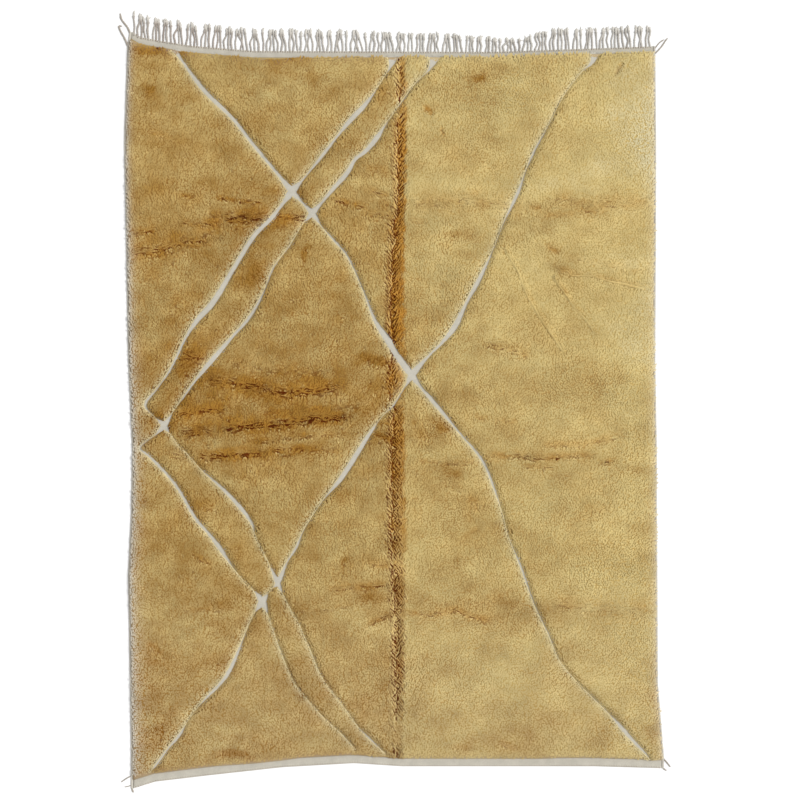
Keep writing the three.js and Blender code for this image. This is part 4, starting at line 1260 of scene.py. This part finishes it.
def twistedStrand(route, wide, rng, steps, rise=3.4, knot=None):
    # One two-ply yarn that comes off its backing and lies along the floor
    path = smoothPath([(x, y, 0) for x, y in route], 3)[:, :2]
    length = np.concatenate([[0], np.cumsum(np.linalg.norm(np.diff(path, axis=0), axis=1))])
    at = np.linspace(0, length[-1], steps)
    x, y = np.interp(at, length, path[:, 0]), np.interp(at, length, path[:, 1])
    t = at / length[-1]
    half = np.full(steps, wide / 2) * (1 + 0.07 * rng.normal(size=steps))
    if knot:  # the yarn opens out past its knot
        half *= 1 + 0.6 * np.exp(-((t - knot) / 0.05) ** 2) + 0.55 * np.exp(-((t - knot - 0.15) / 0.05) ** 2)
    half *= np.clip((1.03 - t) / 0.1, 0.3, 1)
    high = half * (0.85 - 0.25 * np.clip((t - 0.8) / 0.2, 0, 1))
    z = high + (rise - high[0]) * np.clip(1 - at / 14, 0, 1)
    turn = at / fringe["ply"] * math.pi + rng.uniform(0, 6)
    return np.stack([x, y, np.maximum(z, high + 0.05)], 1), half, high, turn, 0.34


def makeFringe():
    rng = np.random.default_rng(fringe["seed"])
    first = cloth["cordWide"] + fringe["inset"]
    count = round((cloth["wide"] - 2 * first) / fringe["pitch"]) + 1
    u = (first + (cloth["wide"] - 2 * first) * np.arange(count) / (count - 1)) / cloth["wide"]
    root, base = onCloth(u, np.ones(count))
    root = root + rng.normal(0, 1.5, count)
    group, ends = 0, np.zeros(count)
    while group < count:  # neighbours lean together in twos and threes
        members = np.arange(group, min(count, group + rng.choice([1, 2, 2, 3, 3, 4])))
        middle = root[members].mean() + rng.normal(0, 8) + 7 * math.sin(0.09 * group)
        ends[members] = middle + (root[members] - middle) * rng.uniform(0.35, 0.75)
        group = members[-1] + 1
    paths, wisps, tone, stain = [], [], [], []
    for x, y, end in zip(root, base, ends):
        long = float(readAt(fringe["lengths"], x)) * rng.uniform(0.9, 1.03)
        lean, bow = end - x + rng.normal(0, 2), rng.normal(0, 3.2)
        route = [(x, y - 4), (x + 0.2 * bow, y + 8), (x + lean * 0.25 + bow, y + long * 0.34),
                 (x + lean * 0.7 - 0.7 * bow, y + long * 0.66), (x + lean, y + long * 0.97)]
        knot = rng.uniform(*fringe["knot"])
        wide = fringe["wide"] * rng.uniform(0.85, 1.12)
        paths.append(twistedStrand(route, wide, rng, fringe["steps"], knot=knot))
        own = 0.45 + rng.normal(0, 0.1)
        pale = np.clip((np.linspace(0, 1, fringe["steps"]) - knot) / 0.08, 0, 1)
        tone.append(np.repeat(own + 0.3 * pale, fringe["sides"]))
        brown = rng.normal(0.1, 0.06) + np.interp(x, (-900, -300), (0.28, 0))
        stain.append(np.repeat(max(brown, 0) * (1 - 0.8 * pale), fringe["sides"]))
        for _ in range(fringe["frays"]):
            start = paths[-1][0][-4] + np.array([rng.normal(0, 2), rng.normal(-4, 3), 0])
            angle = math.pi / 2 + math.atan2(-lean, long) + rng.normal(0, 0.5)
            reach = rng.uniform(*fringe["frayLong"])
            s = np.linspace(0, 1, len(fringe["frayThins"]))
            curl = rng.normal(0, 2.5) * s * s
            line = np.stack([start[0] + reach * s * math.cos(angle) - curl * math.sin(angle),
                             start[1] + reach * s * math.sin(angle) + curl * math.cos(angle),
                             2.4 + rng.uniform(0, 1.5) - 1.2 * s], 1)
            half = 1.9 * fringe["frayThins"] * rng.uniform(0.8, 1.2)
            wisps.append((line, half, half * 0.7, 0 * s, 0.0))
    points, faces = tubes(paths, fringe["sides"])
    values = {"tone": np.concatenate(tone), "stain": np.concatenate(stain)}
    print("fringe strands", count)
    strands = buildMesh("fringe_strands", points, faces, fringeWool, values)
    points, faces = tubes(wisps, fringe["fraySides"])
    tone = np.repeat(rng.uniform(0.65, 0.95, len(wisps)), len(points) // len(wisps))
    values = {"tone": tone, "stain": np.zeros(len(points))}
    return strands, buildMesh("fringe_frays", points, faces, fringeWool, values)


weave = {"ribPitch": 1.5, "rib": 0.35, "columns": 261, "lumps": 0.25}


def makeBand(edge):
    sizes = endBands[edge]
    wide, ridge, ridgeWide, thick = sizes["wide"], sizes["ridge"], sizes["ridgeWide"], sizes["thick"]
    inward = np.arange(0, wide + 0.1, weave["ribPitch"])
    inward[-1] = wide
    u = np.linspace(0, 1, weave["columns"])[None]
    x, y = onCloth(u, sizes["at"], cloth["cordWide"] + cloth["gap"], **{edge: inward[:, None]})
    profile = np.interp(inward, [0, ridgeWide / 2, ridgeWide, wide], [ridge - 1.6, ridge - 0.8, thick, thick])
    ribs = weave["rib"] * np.cos(np.arange(len(inward)) * math.pi)
    z = profile[:, None] + ribs[:, None] + weave["lumps"] * softNoise(x, y, 9, 61)
    if edge == "top":  # rows run the other way there
        x, y, z = x[::-1], y[::-1], z[::-1]
    return closedGrid(f"{edge}_band_weave", x, y, 0, z, bandWool, evenYarn(z.size))


twining = {
    "seed": 43,
    "pitch": 5.2,
    "inset": 3.4,
    "slant": 1.1,
    "rings": ((-1, 0.25), (-0.45, 0.95), (0.45, 0.95), (1, 0.25)),  # along a stitch, how full it is there
    "sides": 5,
    "brown": {"long": (2.6, 3.6), "wide": 1.8},
    "ivory": {"long": (3.8, 4.8), "wide": (2.3, 2.9)},
    "high": 1.9,
}


def makeTwining(edge):
    # The row of slanted stitches along a band's outer edge, ivory and brown by turns
    rng = np.random.default_rng(twining["seed"])
    count = int(cloth["wide"] / twining["pitch"])
    sides, rings = twining["sides"], len(twining["rings"])
    u = (np.arange(count) + 0.5) / count
    x, y = onCloth(u, endBands[edge]["at"], cloth["cordWide"] + 3, **{edge: twining["inset"]})
    angle = np.arange(sides) * 2 * math.pi / sides
    slant = twining["slant"] if edge == "top" else -twining["slant"]
    ux, uy = math.cos(slant), math.sin(slant)
    points = np.zeros((count, rings, sides, 3))
    brown = np.arange(count) % 2
    long = np.where(brown, rng.uniform(*twining["brown"]["long"], count),
                    rng.uniform(*twining["ivory"]["long"], count))
    wide = np.where(brown, twining["brown"]["wide"], rng.uniform(*twining["ivory"]["wide"], count))
    for ring, (along, swell) in enumerate(twining["rings"]):
        centre = along * long[:, None]
        across = np.cos(angle) * swell * wide[:, None]
        up = np.sin(angle) * swell * twining["high"]
        points[:, ring, :, 0] = x[:, None] + centre * ux - across * uy
        points[:, ring, :, 1] = y[:, None] + centre * uy + across * ux
        points[:, ring, :, 2] = endBands[edge]["ridge"] - twining["high"] + up
    each = np.arange(count)[:, None, None] * rings * sides
    faces = [(each + part[:, ::-1]).reshape(-1, part.shape[1]) for part in ringFaces(rings, sides)]
    stain = np.repeat(brown * 0.85, rings * sides)
    tone = np.repeat(0.95 - 0.4 * brown + rng.normal(0, 0.1, count), rings * sides)
    values = {"tone": tone, "stain": stain}
    return buildMesh(f"{edge}_band_twining", points.reshape(-1, 3), faces, bandWool, values)


overcast = {
    "seed": 44,
    "steps": 1320,
    "wrap": 3,  # steps in each turn of the wool
    "half": (4.9, 3.4),
    "middle": 3.5,
    "slant": 2.2,
    "sides": 8,
    # the left cord is painted lighter than the right, as painted light against the shade it stands in
    "tone": {"left": 1.15, "right": 0.88},
    "endSteps": 22,
    "endRise": 3.5,
}


def makeSelvedge(side):
    # A cord of warps, overcast all along with wool
    rng = np.random.default_rng(overcast["seed"])
    steps, sides = overcast["steps"], overcast["sides"]
    v = np.linspace(0, 1, steps)
    x, y = onCloth(np.full(steps, 0.0 if side == "left" else 1.0), v, cloth["cordWide"] / 2)
    groove = np.arange(steps) % overcast["wrap"] == 0
    swell = np.where(groove, 0.84, 1.0) * (1 + 0.03 * rng.normal(size=steps))
    centre = np.stack([x, y, np.full(steps, overcast["middle"])], 1)
    wide, high = overcast["half"]
    points, faces = tubes([(centre, wide * swell, high * swell, np.zeros(steps), 0.0)], sides)
    lifted = points.reshape(-1, sides, 3)
    lifted[:, :, 1] += overcast["slant"] * np.cos(np.arange(sides) * 2 * math.pi / sides)[None]
    lifted[:, :, 2] = np.maximum(lifted[:, :, 2], 0)
    wraps = rng.normal(size=steps // overcast["wrap"] + 1).repeat(overcast["wrap"])[:steps]
    tone = np.repeat(overcast["tone"][side] + 0.1 * wraps, sides)
    # The grooves between wraps are painted darker, as painted shade
    values = {"tone": np.clip(tone - 0.25 * np.repeat(groove, sides), 0, 1.3), "stain": np.zeros(tone.size)}
    cord = buildMesh(f"{side}_overcast_cord", lifted.reshape(-1, 3), faces, cordWool, values)
    loose = [twistedStrand(route, wide, rng, overcast["endSteps"], overcast["endRise"])
             for wide, route in looseCords[side]]
    points, faces = tubes(loose, sides)
    values = evenYarn(len(points), 0.42, 0.25)
    return cord, buildMesh(f"{side}_loose_warps", points, faces, cordWool, values)


ground = {"columns": 74, "rows": 101, "thick": 3.0}


def makeGround():
    # The woven ground that the pile is knotted on, seen only from below
    u, v = np.meshgrid(np.linspace(0, 1, ground["columns"]), np.linspace(0, 1, ground["rows"]))
    gap = cloth["gap"]
    bottom, top = endBands["bottom"]["wide"] + gap, endBands["top"]["wide"] + gap
    x, y = onCloth(u, v, cloth["cordWide"] + gap, bottom, top)
    return closedGrid("woven_ground", x, y, 0, np.full(x.shape, ground["thick"]), backWool, evenYarn(x.size))


print("pile")
goldPile = makeGold()
ivoryPile = makeIvory()
ivoryLayer = makeIvoryBed()
pileBed = makeBed()
print("woven pieces")
wovenGround = makeGround()
bands = {edge: [makeBand(edge), makeTwining(edge)] for edge in endBands}
fringeYarns = makeFringe()
cords = {side: makeSelvedge(side) for side in looseCords}
others = []
for pieces, slot, node in (
    ([*goldPile, pileBed], "gold_pile", "pile_field"),
    ([ivoryPile, ivoryLayer, wovenGround], "woven_warp", "pile_field"),
    ([*bands["top"], *fringeYarns], "woven_warp", "top_end_band"),
    (bands["bottom"], "woven_warp", "bottom_end_band"),
    (cords["left"], "side_cord", "selvedge_left"),
    (cords["right"], "side_cord", "selvedge_right"),
):
    for piece in pieces:
        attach(piece, "root")
        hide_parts(node)
    others += [piece for piece in pieces if piece != wovenGround]

print("stage")
view = {"middle": (33.3, 29.2), "away": 8000, "lens": 86.4, "sensor": 36}
camera = bpy.data.objects.new("camera", bpy.data.cameras.new("camera"))
bpy.context.scene.collection.objects.link(camera)
camera.location = (view["middle"][0] * mm, view["middle"][1] * mm, view["away"] * mm)
camera.data.lens = view["lens"]
camera.data.sensor_width = view["sensor"]
camera.data.clip_end = 100
bpy.context.scene.camera = camera

light = {"from": (1.0, 0.3, 1.45), "strength": 2.35, "soft": 18, "world": 0.58}
key = bpy.data.objects.new("key_light", bpy.data.lights.new("key_light", "SUN"))
bpy.context.scene.collection.objects.link(key)
key.rotation_euler = Vector(light["from"]).to_track_quat("Z", "Y").to_euler()
key.data.energy = light["strength"]
key.data.angle = math.radians(light["soft"])
world = bpy.data.worlds.new("studio")
bpy.context.scene.world = world
world.use_nodes = True
world.node_tree.nodes["Background"].inputs["Color"].default_value = (1, 1, 1, 1)
world.node_tree.nodes["Background"].inputs["Strength"].default_value = light["world"]
bpy.context.scene.view_settings.view_transform = "Standard"

bpy.ops.object.select_all(action="DESELECT")
bpy.ops.mesh.primitive_plane_add(size=40, location=(0, 0, 0))
floor = bpy.context.object
floor.name = "floor"
floorPaint = bpy.data.materials.new("floor_paint")
floorPaint.use_nodes = True
floorPaint.node_tree.nodes["Principled BSDF"].inputs["Base Color"].default_value = (0.93, 0.93, 0.93, 1)
floorPaint.node_tree.nodes["Principled BSDF"].inputs["Roughness"].default_value = 0.9
floor.data.materials.append(floorPaint)
